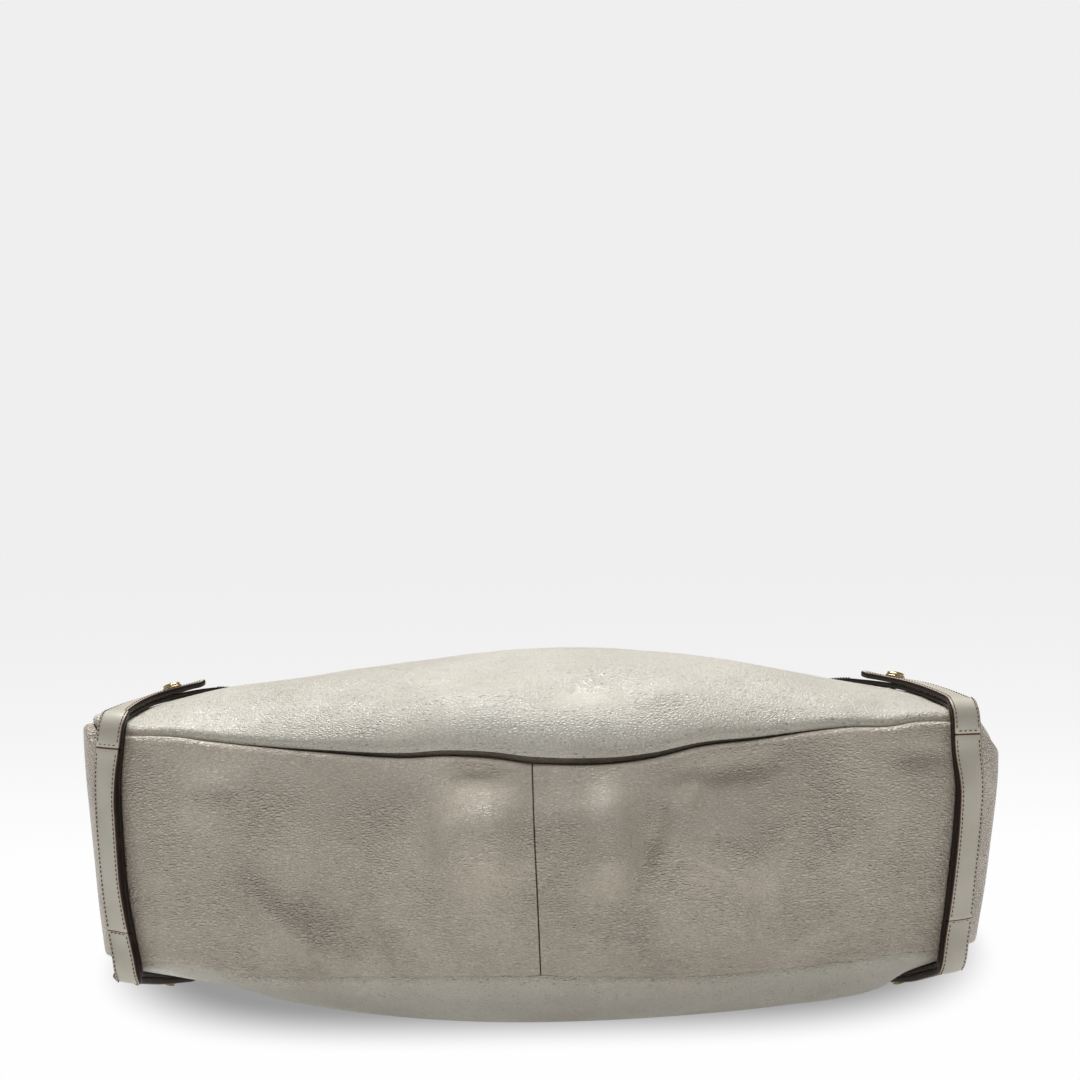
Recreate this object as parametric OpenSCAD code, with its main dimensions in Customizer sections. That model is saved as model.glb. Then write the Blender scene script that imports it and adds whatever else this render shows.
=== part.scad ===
// Hobo bag lying on its back panel.
// X runs along the base, Y from the base to the mouth, Z up from the surface it lies on.

/* [Body] */
// Half width of the bag from its centre to the start of the base corners
base_half = 192; // [188:1:196]
// Plan radius of the two base corners
corner_r = 36; // [34:1:38]
// Half width of the mouth
mouth_half = 150; // [148:1:152]
// How far the base bows out between its corners
base_bow = 18; // [12:1:22]
// Thickness of the shell leather
leather_t = 1.8; // [1.4:0.1:2]
// Thickness of the lining cloth
lining_t = 0.8; // [0.5:0.1:0.9]

/* [Belts and straps] */
// Width of the corner belts
belt_w = 13; // [12:0.5:15]
// Thickness of the corner belts
belt_t = 2.8; // [2:0.1:3]
// Thickness of the side straps that run under the belts
side_strap_t = 1.9; // [1.5:0.1:2]
// Diameter of the brass stud heads
stud_d = 10; // [8:0.5:11]
// Width of the shoulder strap
strap_w = 26; // [20:1:28]
// How far the shoulder strap's arch rises past its straight ends
strap_rise = 180; // [150:5:200]

/* [Hardware] */
// Radius of the strap rings, to the middle of the wire
ring_r = 20.5; // [20:0.5:22]
// Radius of the ring wire
ring_wire = 2.4; // [2:0.1:2.4]
// Width of the ring tabs and strap ends
tab_w = 16; // [12:1:16]
// Diameter of the magnetic snap
snap_d = 16; // [14:1:18]
// Length of the inner pocket's zip
zip_len = 140; // [120:5:140]

/* [Hidden] */

// Colours.
bone = "#cfcabb";
brass = "#c9a55a";
cloth = "#b7a587";
felt = "#d8d5cc";

// Where the shell sits along Y: base corners, corner centre, mouth ends and mouth middle.
base_y = -130;
corner_y = base_y + corner_r;
mouth_y = 172;
mouth_mid_y = 148;
corner_x = base_half + corner_r * cos(45);
corner_mid_y = corner_y - corner_r * sin(45);
// The sides run straight from here up to the mouth.
straight_y = 128;
// How much narrower the back panel is than the front panel, at the base.
back_inset = 8;

// Heights of the shell above the surface, from base seam (0) to mouth (1).
front_centre = [
    [0, 150], [0.02, 160], [0.045, 168], [0.075, 173.5], [0.11, 178], [0.16, 182], [0.25, 186],
    [0.35, 190], [0.45, 191], [0.55, 188], [0.65, 178], [0.75, 158], [0.85, 124], [0.93, 90], [1, 60]
];
front_side = [[0, 163], [0.06, 159], [0.2, 158], [0.3, 156], [0.45, 146], [0.65, 116], [0.85, 74], [1, 50]];
front_shoulder = [[0, 0], [0.08, 9], [0.15, 13], [0.3, 14], [0.6, 12], [0.85, 5], [1, 0]];
back_centre = [
    [0, 47], [0.05, 32], [0.1, 22], [0.16, 13], [0.22, 6], [0.3, -1], [0.4, -5], [0.5, -7],
    [0.8, -6], [0.9, -3], [1, 5]
];
back_side = [[0, 50], [0.1, 44], [0.2, 37], [0.3, 32], [0.45, 24], [0.65, 18], [0.85, 17], [1, 18]];
// How far the gusset band swells out, from the middle of the base (0) by the corner (1) to the mouth (2).
band_swell = [[0, 9], [0.6, 9], [0.9, 6], [1, 3], [1.15, 1], [1.6, 0], [2, 0]];

// Layers of the shell, as depths below the outer surface.
felt_depth = leather_t + 0.5;
lining_depth = 3.7;
facing_depth = 3.2;
facing_t = 1.4;
// Length of gusset left free at each seam, so that the panels' turned edges fit.
seam_gap = 3.4;
// Gap between sheets that lie on each other.
lay_gap = 0.4;
eps = 0.004;

// Strap rings and what hangs on them.
ring_x = mouth_half - 2.2;
ring_y = 196;
ring_z = 34;
loop_in = ring_wire + 0.2;
loop_t = 1.8;
strap_tilt = 4.6;
strap_start = 25;
strap_leg_end = 56;
strap_bend_y = 66;
strap_t = 2 * (loop_in - lay_gap);

// Corner belts: rows of the front and back panels and of the base band that the belt's middle passes.
belt_lean = 0.29;
belt_mid = 0.953;
belt_end_row = 0.31;
stud_row = 0.235;
belt_join = 0.82;

// Closure tab and snap, on the middle of the front panel just below the mouth.
closure_w = 34;
closure_t = 2.4;
closure_hinge = [152.5, 12.3];
snap_row = 0.935;

// Inner zip pocket, on the flat part of the back lining.
pocket_y = 62;
pocket_floor = lining_depth + lining_t + 0.3;

function clamp(x, low, high) = max(low, min(high, x));
function unit(p) = p / max(norm(p), 1e-9);
function mix(a, b, k) = a * (1 - k) + b * k;

// A smooth curve through the second values of a table, at t of the first. Values may be points.
function slope_at(table, i) =
    let (low = max(i - 1, 0), high = min(i + 1, len(table) - 1))
    (table[high][1] - table[low][1]) / (table[high][0] - table[low][0]);
function segment_of(table, t, i = 0) =
    i >= len(table) - 2 || t < table[i + 1][0] ? i : segment_of(table, t, i + 1);
function curve(table, t) =
    let (
        k = clamp(t, table[0][0], table[len(table) - 1][0]),
        i = segment_of(table, k),
        step = table[i + 1][0] - table[i][0],
        s = (k - table[i][0]) / step
    )
    (2 * pow(s, 3) - 3 * pow(s, 2) + 1) * table[i][1]
        + (pow(s, 3) - 2 * pow(s, 2) + s) * step * slope_at(table, i)
        + (3 * pow(s, 2) - 2 * pow(s, 3)) * table[i + 1][1]
        + (pow(s, 3) - pow(s, 2)) * step * slope_at(table, i + 1);

// Plan outline: the base line with its round corners, and the sides.
function base_line(x) =
    abs(x) < base_half
        ? base_y - base_bow * pow(cos(90 * x / base_half), 2)
        : corner_y - sqrt(max(pow(corner_r, 2) - pow(abs(x) - base_half, 2), 0));
function side_line(y) =
    let (k = clamp((straight_y - y) / (straight_y - corner_y), 0, 1))
    y > corner_y
        ? mouth_half + (base_half + corner_r - mouth_half) * k * k * (3 - 2 * k)
        : base_half + sqrt(max(pow(corner_r, 2) - pow(y - corner_y, 2), 0));
function plan(u, v) =
    let (
        side_x = side_line(mix(corner_mid_y, mouth_y, v)),
        mouth_line = mouth_mid_y + (mouth_y - mouth_mid_y) * u * u
    )
    [u * side_x, mix(base_line(u * corner_x), mouth_line, v)];

// Outer surfaces of the shell. u runs from the left side (-1) to the right (1), v from base to mouth.
function front(u, v) =
    let (
        p = plan(u, v),
        side = curve(front_side, v),
        shoulder = curve(front_shoulder, v),
        crown = curve(front_centre, v) - side - shoulder,
        z = side + shoulder * (1 - pow(abs(u), 12)) + crown * (1 + cos(180 * u)) / 2
    )
    [p[0], p[1], z];
function back(u, v) =
    let (
        p = plan(u, v),
        side = curve(back_side, v),
        drop = curve(back_centre, v) - side,
        z = side + drop * (1 - pow(abs(u), 2.4))
    )
    [p[0] * (1 - back_inset * (1 - v) / corner_x), p[1], max(z, 0)];
// The gusset band. t is u on the base, and 1 + v up a side; q runs from the back seam to the front seam.
function front_seam(t) = front(clamp(t, -1, 1), clamp(abs(t) - 1, 0, 1));
function back_seam(t) = back(clamp(t, -1, 1), clamp(abs(t) - 1, 0, 1));
function band_out(t) =
    let (d = front_seam(clamp(t + eps, -2, 2)) - front_seam(clamp(t - eps, -2, 2)))
    unit([d[1], -d[0], 0]);
function band(t, q) =
    let (swell = curve(band_swell, abs(t)) * (1 - pow(abs(2 * q - 1), 2.2)))
    mix(back_seam(t), front_seam(t), q) + band_out(t) * swell;
function seam_share(t) = seam_gap / norm(front_seam(t) - back_seam(t));
function trimmed_band(t, k) = band(t, mix(seam_share(t), 1 - seam_share(t), k));

// Normal of a surface of two parameters, each within its limits.
function normal_of(f, a, b, la, lb) =
    unit(cross(
        f(min(a + eps, la[1]), b) - f(max(a - eps, la[0]), b),
        f(a, min(b + eps, lb[1])) - f(a, max(b - eps, lb[0]))
    ));

// A sheet of even thickness between two depths under a surface, over rows a and columns b.
// side is 1 where the surface's normal points out of the bag, and -1 where it points in.
module sheet(f, rows, columns, top, bottom, side = 1) {
    n = len(rows);
    m = len(columns);
    la = [min(rows), max(rows)];
    lb = [min(columns), max(columns)];
    function layer(depth) = [
        for (a = rows, b = columns) f(a, b) - side * depth * normal_of(f, a, b, la, lb)
    ];
    function quad(a, b, c, d) = side > 0 ? [[a, b, c], [a, c, d]] : [[c, b, a], [d, c, a]];
    size = n * m;
    faces = [
        for (i = [0:n - 2], j = [0:m - 2], triangle = quad(
            i * m + j, i * m + j + 1, (i + 1) * m + j + 1, (i + 1) * m + j
        )) triangle,
        for (i = [0:n - 2], j = [0:m - 2], triangle = quad(
            size + i * m + j, size + (i + 1) * m + j, size + (i + 1) * m + j + 1, size + i * m + j + 1
        )) triangle,
        for (i = [0:n - 2], triangle = quad(
            i * m, (i + 1) * m, size + (i + 1) * m, size + i * m
        )) triangle,
        for (i = [0:n - 2], triangle = quad(
            i * m + m - 1, size + i * m + m - 1, size + (i + 1) * m + m - 1, (i + 1) * m + m - 1
        )) triangle,
        for (j = [0:m - 2], triangle = quad(j, size + j, size + j + 1, j + 1)) triangle,
        for (j = [0:m - 2], triangle = quad(
            (n - 1) * m + j, (n - 1) * m + j + 1, size + (n - 1) * m + j + 1, size + (n - 1) * m + j
        )) triangle
    ];
    polyhedron(points = concat(layer(top), layer(bottom)), faces = faces);
}

function steps(low, high, count) = [for (i = [0:count]) mix(low, high, i / count)];
// Columns across a panel, closer together near its sides, and rows closer together near its base.
function across(count, reach = 1) = [for (i = [0:count]) reach * sin(90 * (2 * i / count - 1))];
function upward(count, low = 0, high = 1) = [for (i = [0:count]) mix(low, high, pow(i / count, 1.25))];
function within(list, low, high) = [for (x = list) if (x >= low && x <= high) x];

// Grid lines shared by sheets that lie on each other.
mouth_rows = [0.925, 0.95, 0.972, 0.99];
panel_rows = concat(upward(15, 0, 0.9), mouth_rows, [1]);
panel_columns = across(24);
lining_rows = upward(12, 0.03, 0.89);
lining_columns = across(16, 0.95);

// Puts children at a point of a surface, with +Z along the outward normal.
module on_surface(point, out) {
    turn = acos(clamp(out[2], -1, 1));
    axis = cross([0, 0, 1], out);
    translate(point)
        rotate(a = turn, v = norm(axis) < 1e-6 ? [1, 0, 0] : axis)
            children();
}

// ---- Shell ----

module front_panel() {
    color(bone)
        difference() {
            sheet(function(u, v) front(u, v), panel_columns, panel_rows, 0, leather_t);
            stud_holes(1);
            snap_hole();
        }
}
module back_panel() {
    color(bone)
        difference() {
            sheet(function(u, v) back(u, v), panel_columns, panel_rows, 0, leather_t, -1);
            stud_holes(-1);
        }
}
// Half of the gusset band, from the centre seam round a corner and up one side.
gusset_rows = concat(steps(0.0015, 0.84, 7), [0.89, 0.93, 0.965, 1, 1.03, 1.07, 1.12, 1.2], steps(1.3, 2, 7));
module gusset(side) {
    color(bone)
        mirror([side < 0 ? 1 : 0, 0, 0])
            difference() {
                sheet(function(t, k) trimmed_band(t, k), gusset_rows, steps(0, 1, 6), 0, leather_t);
                tab_rivet_hole();
            }
}
module facing(f, side) {
    color(bone)
        sheet(
            f, within(panel_columns, -0.93, 0.93), concat([0.9], mouth_rows),
            facing_depth, facing_depth + facing_t, side
        );
}

// ---- Lining ----

module lining_front() {
    color(cloth)
        sheet(
            function(u, v) front(u, v), lining_columns, lining_rows,
            lining_depth, lining_depth + lining_t
        );
}
module lining_back() {
    color(cloth)
        difference() {
            sheet(
                function(u, v) back(u, v), lining_columns, lining_rows,
                lining_depth, lining_depth + lining_t, -1
            );
            translate([-zip_len / 2, pocket_y - 3, 0])
                cube([zip_len, 6, 9]);
        }
}
module lining_gusset() {
    half = concat(within(gusset_rows, 0.1, 1.85), [1.87]);
    rows = concat([for (i = [len(half) - 1:-1:0]) -half[i]], [0], half);
    color(cloth)
        sheet(
            function(t, k) band(t, mix(0.12, 0.88, k)), rows, steps(0, 1, 4),
            lining_depth, lining_depth + lining_t
        );
}
module base_felt() {
    color(felt)
        sheet(
            function(t, k) band(t, mix(0.14, 0.86, k)), steps(-0.86, 0.86, 14), steps(0, 1, 4),
            felt_depth, felt_depth + 1
        );
}
module slip_pocket() {
    color(cloth)
        sheet(
            function(u, v) front(u, v), within(lining_columns, -0.4, 0.4), within(lining_rows, 0.45, 0.8),
            lining_depth + lining_t + 0.5, lining_depth + lining_t + 1.1
        );
}

// ---- Inner zip pocket ----

pocket_depth = 84;
module pocket_bag() {
    color(cloth)
        translate([-zip_len / 2 - 6, pocket_y + 6 - pocket_depth, leather_t + 0.35])
            difference() {
                cube([zip_len + 12, pocket_depth, 1.2]);
                translate([2, 2, 0.4])
                    cube([zip_len + 8, pocket_depth - 4, 0.4]);
                translate([6, pocket_depth - 9, 0.4])
                    cube([zip_len, 6, 2]);
            }
}
module pocket_frame() {
    color(bone)
        translate([0, pocket_y, pocket_floor + 0.8])
            linear_extrude(1.2)
                difference() {
                    square([zip_len + 24, 22], center = true);
                    square([zip_len, 9], center = true);
                }
}
module pocket_zip_tape() {
    color(cloth)
        for (side = [-1, 1])
            translate([-zip_len / 2 - 8, pocket_y + (side > 0 ? 0.2 : -8.2), pocket_floor])
                cube([zip_len + 16, 8, 0.5]);
}
module pocket_zip_coil() {
    color(brass)
        for (side = [-1, 1])
            translate([-zip_len / 2 + 1, pocket_y + (side > 0 ? 0.15 : -1.45), pocket_floor + 0.7])
                cube([zip_len - 2, 1.3, 1]);
}
// The slider rides over the coil, at the left end when the zip is shut.
slider_x = -zip_len / 2 + 8;
slider_z = pocket_floor + 2;
pull_axis_z = slider_z + 2.5;
module pocket_slider() {
    color(brass)
        translate([slider_x, pocket_y, slider_z]) {
            linear_extrude(1)
                polygon([[-5, -2.4], [-2, -3.2], [5, -3.2], [5, 3.2], [-2, 3.2], [-5, 2.4]]);
            for (x = [-3.2, 2])
                translate([x, -1, 0.9])
                    cube([1.2, 2, 2.6]);
            translate([-3.2, -1, 3.3])
                cube([6.4, 2, 0.8]);
        }
}
module pocket_pull() {
    color(brass)
        translate([slider_x - 0.6, pocket_y, pull_axis_z]) {
            rotate([90, 0, 0])
                cylinder(h = 6, r = 0.6, center = true, $fn = 24);
            for (side = [-1, 1])
                translate([0, side * 2.4 - 0.6, -0.6])
                    cube([14, 1.2, 1.2]);
            translate([13, -3, -0.6])
                cube([1.4, 6, 1.2]);
        }
}
module pocket_pull_tab() {
    color(bone)
        translate([slider_x + 14.2, pocket_y, pull_axis_z - 0.9])
            linear_extrude(1.8)
                union() {
                    translate([0, -4])
                        square([20, 8]);
                    translate([20, 0])
                        circle(r = 4, $fn = 48);
                }
}

// ---- Side straps and corner belts ----

// The middle line of a belt: rows from the tab on the front, round the base, to the tab on the back.
function belt_u(v) = belt_mid - belt_lean * v;
function belt_front_point(v) = front(belt_u(v), v);
function belt_back_point(v) = back(belt_u(v), v);
// Points of the line with the direction across it, from the front mouth round to the back mouth.
front_rows = [0.97, 0.9, 0.82, 0.74, 0.66, 0.58, 0.5, 0.42, 0.36, 0.3, 0.24, 0.18, 0.12, 0.07, 0.035];
band_rows = [0.93, 0.84, 0.72, 0.6, 0.48, 0.36, 0.24, 0.14, 0.06];
corner_rise = 1.4;
function across_dir(f, a, b) = unit(f(a + 0.01, b) - f(a - 0.01, b));
function belt_points() = concat(
    [for (v = front_rows) [belt_front_point(v), across_dir(function(a, b) front(a, b), belt_u(v), v)]],
    [[
        front(belt_mid, 0) + corner_rise * unit([0.45, -0.7, 0.9]),
        across_dir(function(a, b) front(a, b), belt_mid, 0)
    ]],
    [for (q = band_rows) [band(belt_mid, q), across_dir(function(a, b) band(a, b), belt_mid, q)]],
    [[
        back(belt_mid, 0) + corner_rise * unit([0.45, -0.7, -0.9]),
        across_dir(function(a, b) back(a, b), belt_mid, 0)
    ]],
    [
        for (i = [len(front_rows) - 1:-1:0])
            let (v = front_rows[i])
            [belt_back_point(v), across_dir(function(a, b) back(a, b), belt_u(v), v)]
    ]
);
line = belt_points();
line_middle = [for (i = [0:len(line) - 1]) [i, line[i][0]]];
line_across = [for (i = [0:len(line) - 1]) [i, line[i][1]]];
// w counts the points of the line, and c runs across it from the inner edge to the outer edge.
function belt_line(w, c) = curve(line_middle, w) + unit(curve(line_across, w)) * c * belt_w / 2;
w_end = len(line) - 1;
// w where the line crosses a row of the front panel, or a height of the band.
function w_of_row(v, i = 0) =
    front_rows[i + 1] <= v
        ? i + (front_rows[i] - v) / (front_rows[i] - front_rows[i + 1])
        : w_of_row(v, i + 1);
function on_grid(w) = round(2 * w) / 2;
function w_of_band(q, i = 0) =
    band_rows[i + 1] <= q
        ? len(front_rows) + 1 + i + (band_rows[i] - q) / (band_rows[i] - band_rows[i + 1])
        : w_of_band(q, i + 1);
w_tab = on_grid(w_of_row(belt_end_row));
w_stud = w_of_row(stud_row);
w_join_front = on_grid(w_of_band(belt_join));
w_join_back = w_end - w_join_front;
join_gap = 0.03;
belt_grid = steps(0, w_end, 2 * w_end);

module mirror_side(side) {
    mirror([side < 0 ? 1 : 0, 0, 0])
        children();
}
module belt_sheet(low, high, top, bottom) {
    rows = concat([low], within(belt_grid, low + 0.1, high - 0.1), [high]);
    sheet(function(w, c) belt_line(w, c), rows, [-1, 0, 1], -top, -bottom);
}
under_strap = lay_gap + 0.6;
over_strap = under_strap + side_strap_t;
under_belt = over_strap + lay_gap;
over_belt = under_belt + belt_t;
module side_strap(side) {
    color(bone)
        mirror_side(side)
            difference() {
                belt_sheet(0, w_end, over_strap, under_strap);
                stud_hole_pair();
            }
}
module belt_piece(side, low, high) {
    color(bone)
        mirror_side(side)
            difference() {
                belt_sheet(low, high, over_belt, under_belt);
                stud_hole_pair();
            }
}
module belt_base(side) {
    belt_piece(side, w_join_front + join_gap, w_join_back - join_gap);
}

// ---- Studs ----

stud_post_r = 1.6;
function stud_at(w) = belt_line(w, 0);
function stud_out(w) =
    normal_of(function(a, b) belt_line(a, b), w, 0, [0, w_end], [-1, 1]);
stud_places = [w_stud, w_end - w_stud];
module stud_post_cut(w, r) {
    on_surface(stud_at(w), stud_out(w))
        translate([0, 0, -12])
            cylinder(h = 30, r = r, $fn = 32);
}
module stud_hole_pair() {
    for (w = stud_places)
        stud_post_cut(w, stud_post_r + 0.15);
}
module stud_holes(face) {
    for (side = [-1, 1])
        mirror_side(side)
            stud_post_cut(face > 0 ? w_stud : w_end - w_stud, stud_post_r + 0.15);
}
module stud_heads() {
    color(brass)
        for (side = [-1, 1], w = stud_places)
            mirror_side(side)
                on_surface(stud_at(w), stud_out(w)) {
                    translate([0, 0, over_belt + 0.25])
                        rotate_extrude($fn = 48)
                            polygon([
                                [0, 0], [stud_d / 2 - 0.5, 0], [stud_d / 2, 0.5], [stud_d / 2, 1],
                                [stud_d / 2 - 0.8, 1.6], [stud_d / 2 - 0.8, 2.1],
                                [stud_d / 2 - 0.3, 2.6], [stud_d / 2 - 1.4, 3.6], [0, 4.1]
                            ]);
                    translate([0, 0, -leather_t - 1.3])
                        cylinder(h = leather_t + 1.65 + over_belt, r = stud_post_r, $fn = 32);
                }
}
module stud_washers() {
    color(brass)
        for (side = [-1, 1], w = stud_places)
            mirror_side(side)
                on_surface(stud_at(w), stud_out(w))
                    translate([0, 0, -leather_t - 1.4])
                        difference() {
                            cylinder(h = 0.8, r = 4, $fn = 48);
                            translate([0, 0, -1])
                                cylinder(h = 3, r = stud_post_r + 0.1, $fn = 32);
                        }
}

// ---- Rings and their tabs ----

// A loop of leather that holds a ring's wire. Its closed end is just past Y = 0, where the wire is.
module loop_outline(reach) {
    difference() {
        union() {
            translate([0, 2.1])
                circle(r = loop_in + loop_t, $fn = 64);
            translate([-loop_in - loop_t, -reach])
                square([2 * (loop_in + loop_t), reach + 2.1]);
        }
        union() {
            translate([0, 2.1])
                circle(r = loop_in, $fn = 64);
            translate([-loop_in, -reach - 1])
                square([2 * loop_in, reach + 3.1]);
        }
    }
}
module ring_tab(side) {
    color(bone)
        mirror_side(side)
            difference() {
                translate([ring_x, ring_y - ring_r, ring_z - tab_w / 2])
                    linear_extrude(tab_w)
                        loop_outline(34);
                tab_rivet_hole();
            }
}
tab_rivet_y = mouth_y - 22;
tab_rivet_r = 1.4;
module tab_rivet_hole() {
    translate([ring_x, tab_rivet_y, ring_z])
        rotate([0, 90, 0])
            cylinder(h = 20, r = tab_rivet_r + 0.15, center = true, $fn = 32);
}
// A rivet whose caps lie on both outer faces of a loop.
module loop_rivet(post_r) {
    reach = loop_in + loop_t + 0.2;
    rotate([0, 90, 0])
        cylinder(h = 2 * reach + 0.4, r = post_r, center = true, $fn = 32);
    for (side = [-1, 1])
        translate([side * reach, 0, 0])
            rotate([0, side * 90, 0])
                rotate_extrude($fn = 48)
                    polygon([[0, 0], [4, 0], [4.2, 0.3], [3.6, 1], [2.2, 1.5], [0, 1.7]]);
}
module ring_tab_rivets() {
    color(brass)
        for (side = [-1, 1])
            mirror_side(side)
                translate([ring_x, tab_rivet_y, ring_z])
                    loop_rivet(tab_rivet_r);
}
module ring(side) {
    color(brass)
        mirror_side(side)
            translate([ring_x, ring_y, ring_z])
                rotate([0, 90, 0])
                    rotate_extrude($fn = 96)
                        translate([ring_r, 0])
                            circle(r = ring_wire, $fn = 48);
}

// ---- Shoulder strap ----

// Everything on the strap turns about the line through both ring centres.
module strap_frame() {
    translate([0, ring_y, ring_z])
        rotate([-strap_tilt, 0, 0])
            children();
}
// Middle line of the strap in its own plane, from the right ring to the left.
function strap_line(k) =
    k < 1 ? [ring_x, mix(strap_start, strap_bend_y, k)]
    : k > 2 ? [-ring_x, mix(strap_bend_y, strap_start, k - 2)]
    : [ring_x * cos(180 * (k - 1)), strap_bend_y + strap_rise * sin(180 * (k - 1))];
strap_rows = concat([0, 0.5], [for (i = [0:40]) 1 + i / 40], [2.5, 3]);
function strap_side(k, off) =
    let (d = unit(strap_line(min(k + eps, 3)) - strap_line(max(k - eps, 0))))
    strap_line(k) + off * [d[1], -d[0]];
module strap_layer(inner, outer) {
    strap_frame()
        translate([0, 0, -strap_w / 2])
            linear_extrude(strap_w)
                polygon(concat(
                    [for (k = strap_rows) strap_side(k, outer)],
                    [for (i = [len(strap_rows) - 1:-1:0]) strap_side(strap_rows[i], inner)]
                ));
}
strap_split = 0.05;
module strap_rivet_holes() {
    for (side = [-1, 1], y = strap_rivet_rows)
        strap_frame()
            translate([side * ring_x, y, 0])
                rotate([0, 90, 0])
                    cylinder(h = 24, r = tab_rivet_r + 0.15, center = true, $fn = 32);
}
strap_rivet_rows = [34, 48];
module strap_outer() {
    color(bone)
        difference() {
            strap_layer(strap_split, strap_t / 2);
            strap_rivet_holes();
        }
}
module strap_inner() {
    color(bone)
        difference() {
            strap_layer(-strap_t / 2, -strap_split);
            strap_rivet_holes();
        }
}
module strap_end(side) {
    color(bone)
        mirror_side(side)
            difference() {
                strap_frame()
                    translate([ring_x, ring_r, -tab_w / 2])
                        linear_extrude(tab_w)
                            mirror([0, 1])
                                loop_outline(strap_leg_end - ring_r);
                strap_rivet_holes();
            }
}
module strap_rivets() {
    color(brass)
        for (side = [-1, 1], y = strap_rivet_rows)
            mirror_side(side)
                strap_frame()
                    translate([ring_x, y, 0])
                        loop_rivet(tab_rivet_r);
}

// ---- Closure tab with its magnetic snap ----

snap_point = front(0, snap_row);
snap_out = normal_of(function(u, v) front(u, v), 0, snap_row, [-1, 1], [0, 1]);
// Heights above the front panel: socket, plug and tab stand on each other.
socket_h = 1.6;
plug_h = 1.4;
tab_height = 0.3 + socket_h + 0.15 + plug_h + 0.1;
snap_post_r = 1.5;
module at_snap() {
    on_surface(snap_point, snap_out)
        children();
}
module snap_hole() {
    at_snap()
        translate([0, 0, -6])
            cylinder(h = 12, r = snap_post_r + 0.15, $fn = 32);
}
module snap_socket() {
    color(brass)
        at_snap() {
            translate([0, 0, 0.3])
                difference() {
                    cylinder(h = socket_h, r = snap_d / 2, $fn = 64);
                    translate([0, 0, socket_h - 0.7])
                        cylinder(h = 1, r = 3.2, $fn = 48);
                }
            translate([0, 0, -leather_t - 0.25])
                cylinder(h = leather_t + 0.7, r = snap_post_r, $fn = 32);
        }
}
module snap_washer() {
    color(brass)
        at_snap()
            translate([0, 0, -leather_t - 0.55 - 0.3])
                cylinder(h = 0.5, r = 7, $fn = 48);
}
// The tab's side view, from its hinge at the back of the mouth, up over the opening and onto the snap.
function tab_point(k) =
    let (
        top = [snap_point[1], snap_point[2]] + tab_height * [snap_out[1], snap_out[2]],
        along = [-snap_out[2], snap_out[1]]
    )
    curve([
        [0, closure_hinge - [closure_t / 2, 0]], [1, closure_hinge + [1.4, 10]],
        [2, closure_hinge + [3.4, 22]], [3, closure_hinge + [3, 36]],
        [4, top - 13 * along], [5, top - 8.5 * along],
        [6, top + 8.5 * along], [7, top + 13 * along]
    ], k);
module closure_tab() {
    color(bone)
        difference() {
            sheet(
                function(k, c) [c * closure_w / 2, tab_point(k)[0], tab_point(k)[1]],
                concat(steps(0, 4, 16), [5, 6, 7]), [-1, 1], -closure_t, 0
            );
            at_snap()
                translate([0, 0, tab_height - 2])
                    cylinder(h = 8, r = snap_post_r + 0.15, $fn = 32);
        }
}
module snap_plug() {
    color(brass)
        at_snap() {
            translate([0, 0, 0.3 + socket_h + 0.15])
                cylinder(h = plug_h, r = snap_d / 2 - 1, $fn = 64);
            translate([0, 0, socket_h - 0.2])
                cylinder(h = 0.8, r = 2.6, $fn = 48);
            translate([0, 0, tab_height - 0.2])
                cylinder(h = closure_t + 0.4, r = snap_post_r, $fn = 32);
        }
}
module snap_cap() {
    color(brass)
        at_snap()
            translate([0, 0, tab_height + closure_t + 0.35])
                rotate_extrude($fn = 64)
                    polygon([[0, 0], [6.6, 0], [7, 0.4], [6.4, 1.2], [4, 1.9], [0, 2.2]]);
}
// The strip that the tab folds from, sewn onto the back facing. This is its lower side, from inside out.
anchor_line = [[117, 5.3], [126, 5.5], [133, 6.3], [139, 8], [144.6, 9.8], [150.2, 11.6]];
anchor_t = 1.6;
module closure_anchor() {
    color(bone)
        translate([-closure_w / 2, 0, 0])
            rotate([90, 0, 90])
                linear_extrude(closure_w)
                    polygon(concat(
                        anchor_line,
                        [for (i = [len(anchor_line) - 1:-1:0]) anchor_line[i] + [-0.2, anchor_t]]
                    ));
}

front_panel();
back_panel();
gusset(-1);  // gusset_left
gusset(1);  // gusset_right
facing(function(u, v) front(u, v), 1);  // front_facing
facing(function(u, v) back(u, v), -1);  // back_facing
lining_front();
lining_back();
lining_gusset();
base_felt();
slip_pocket();
pocket_bag();
pocket_frame();
pocket_zip_tape();
pocket_zip_coil();
side_strap(-1);  // side_strap_left
side_strap(1);  // side_strap_right
belt_piece(-1, w_tab, w_join_front - join_gap);  // belt_front_left
belt_base(-1);  // belt_base_left
belt_piece(-1, w_join_back + join_gap, w_end - w_tab);  // belt_back_left
belt_piece(1, w_tab, w_join_front - join_gap);  // belt_front_right
belt_base(1);  // belt_base_right
belt_piece(1, w_join_back + join_gap, w_end - w_tab);  // belt_back_right
stud_heads();
stud_washers();
ring_tab(-1);  // ring_tab_left
ring_tab(1);  // ring_tab_right
ring_tab_rivets();
snap_socket();
snap_washer();
closure_anchor();
closure_tab();
snap_plug();
snap_cap();
ring(-1);  // ring_left
ring(1);  // ring_right
strap_outer();
strap_inner();
strap_end(-1);  // strap_end_left
strap_end(1);  // strap_end_right
strap_rivets();
pocket_slider();
pocket_pull();
pocket_pull_tab();
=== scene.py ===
import math

import bpy
import numpy as np
from mathutils import Matrix, Vector
from mathutils.kdtree import KDTree


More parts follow.
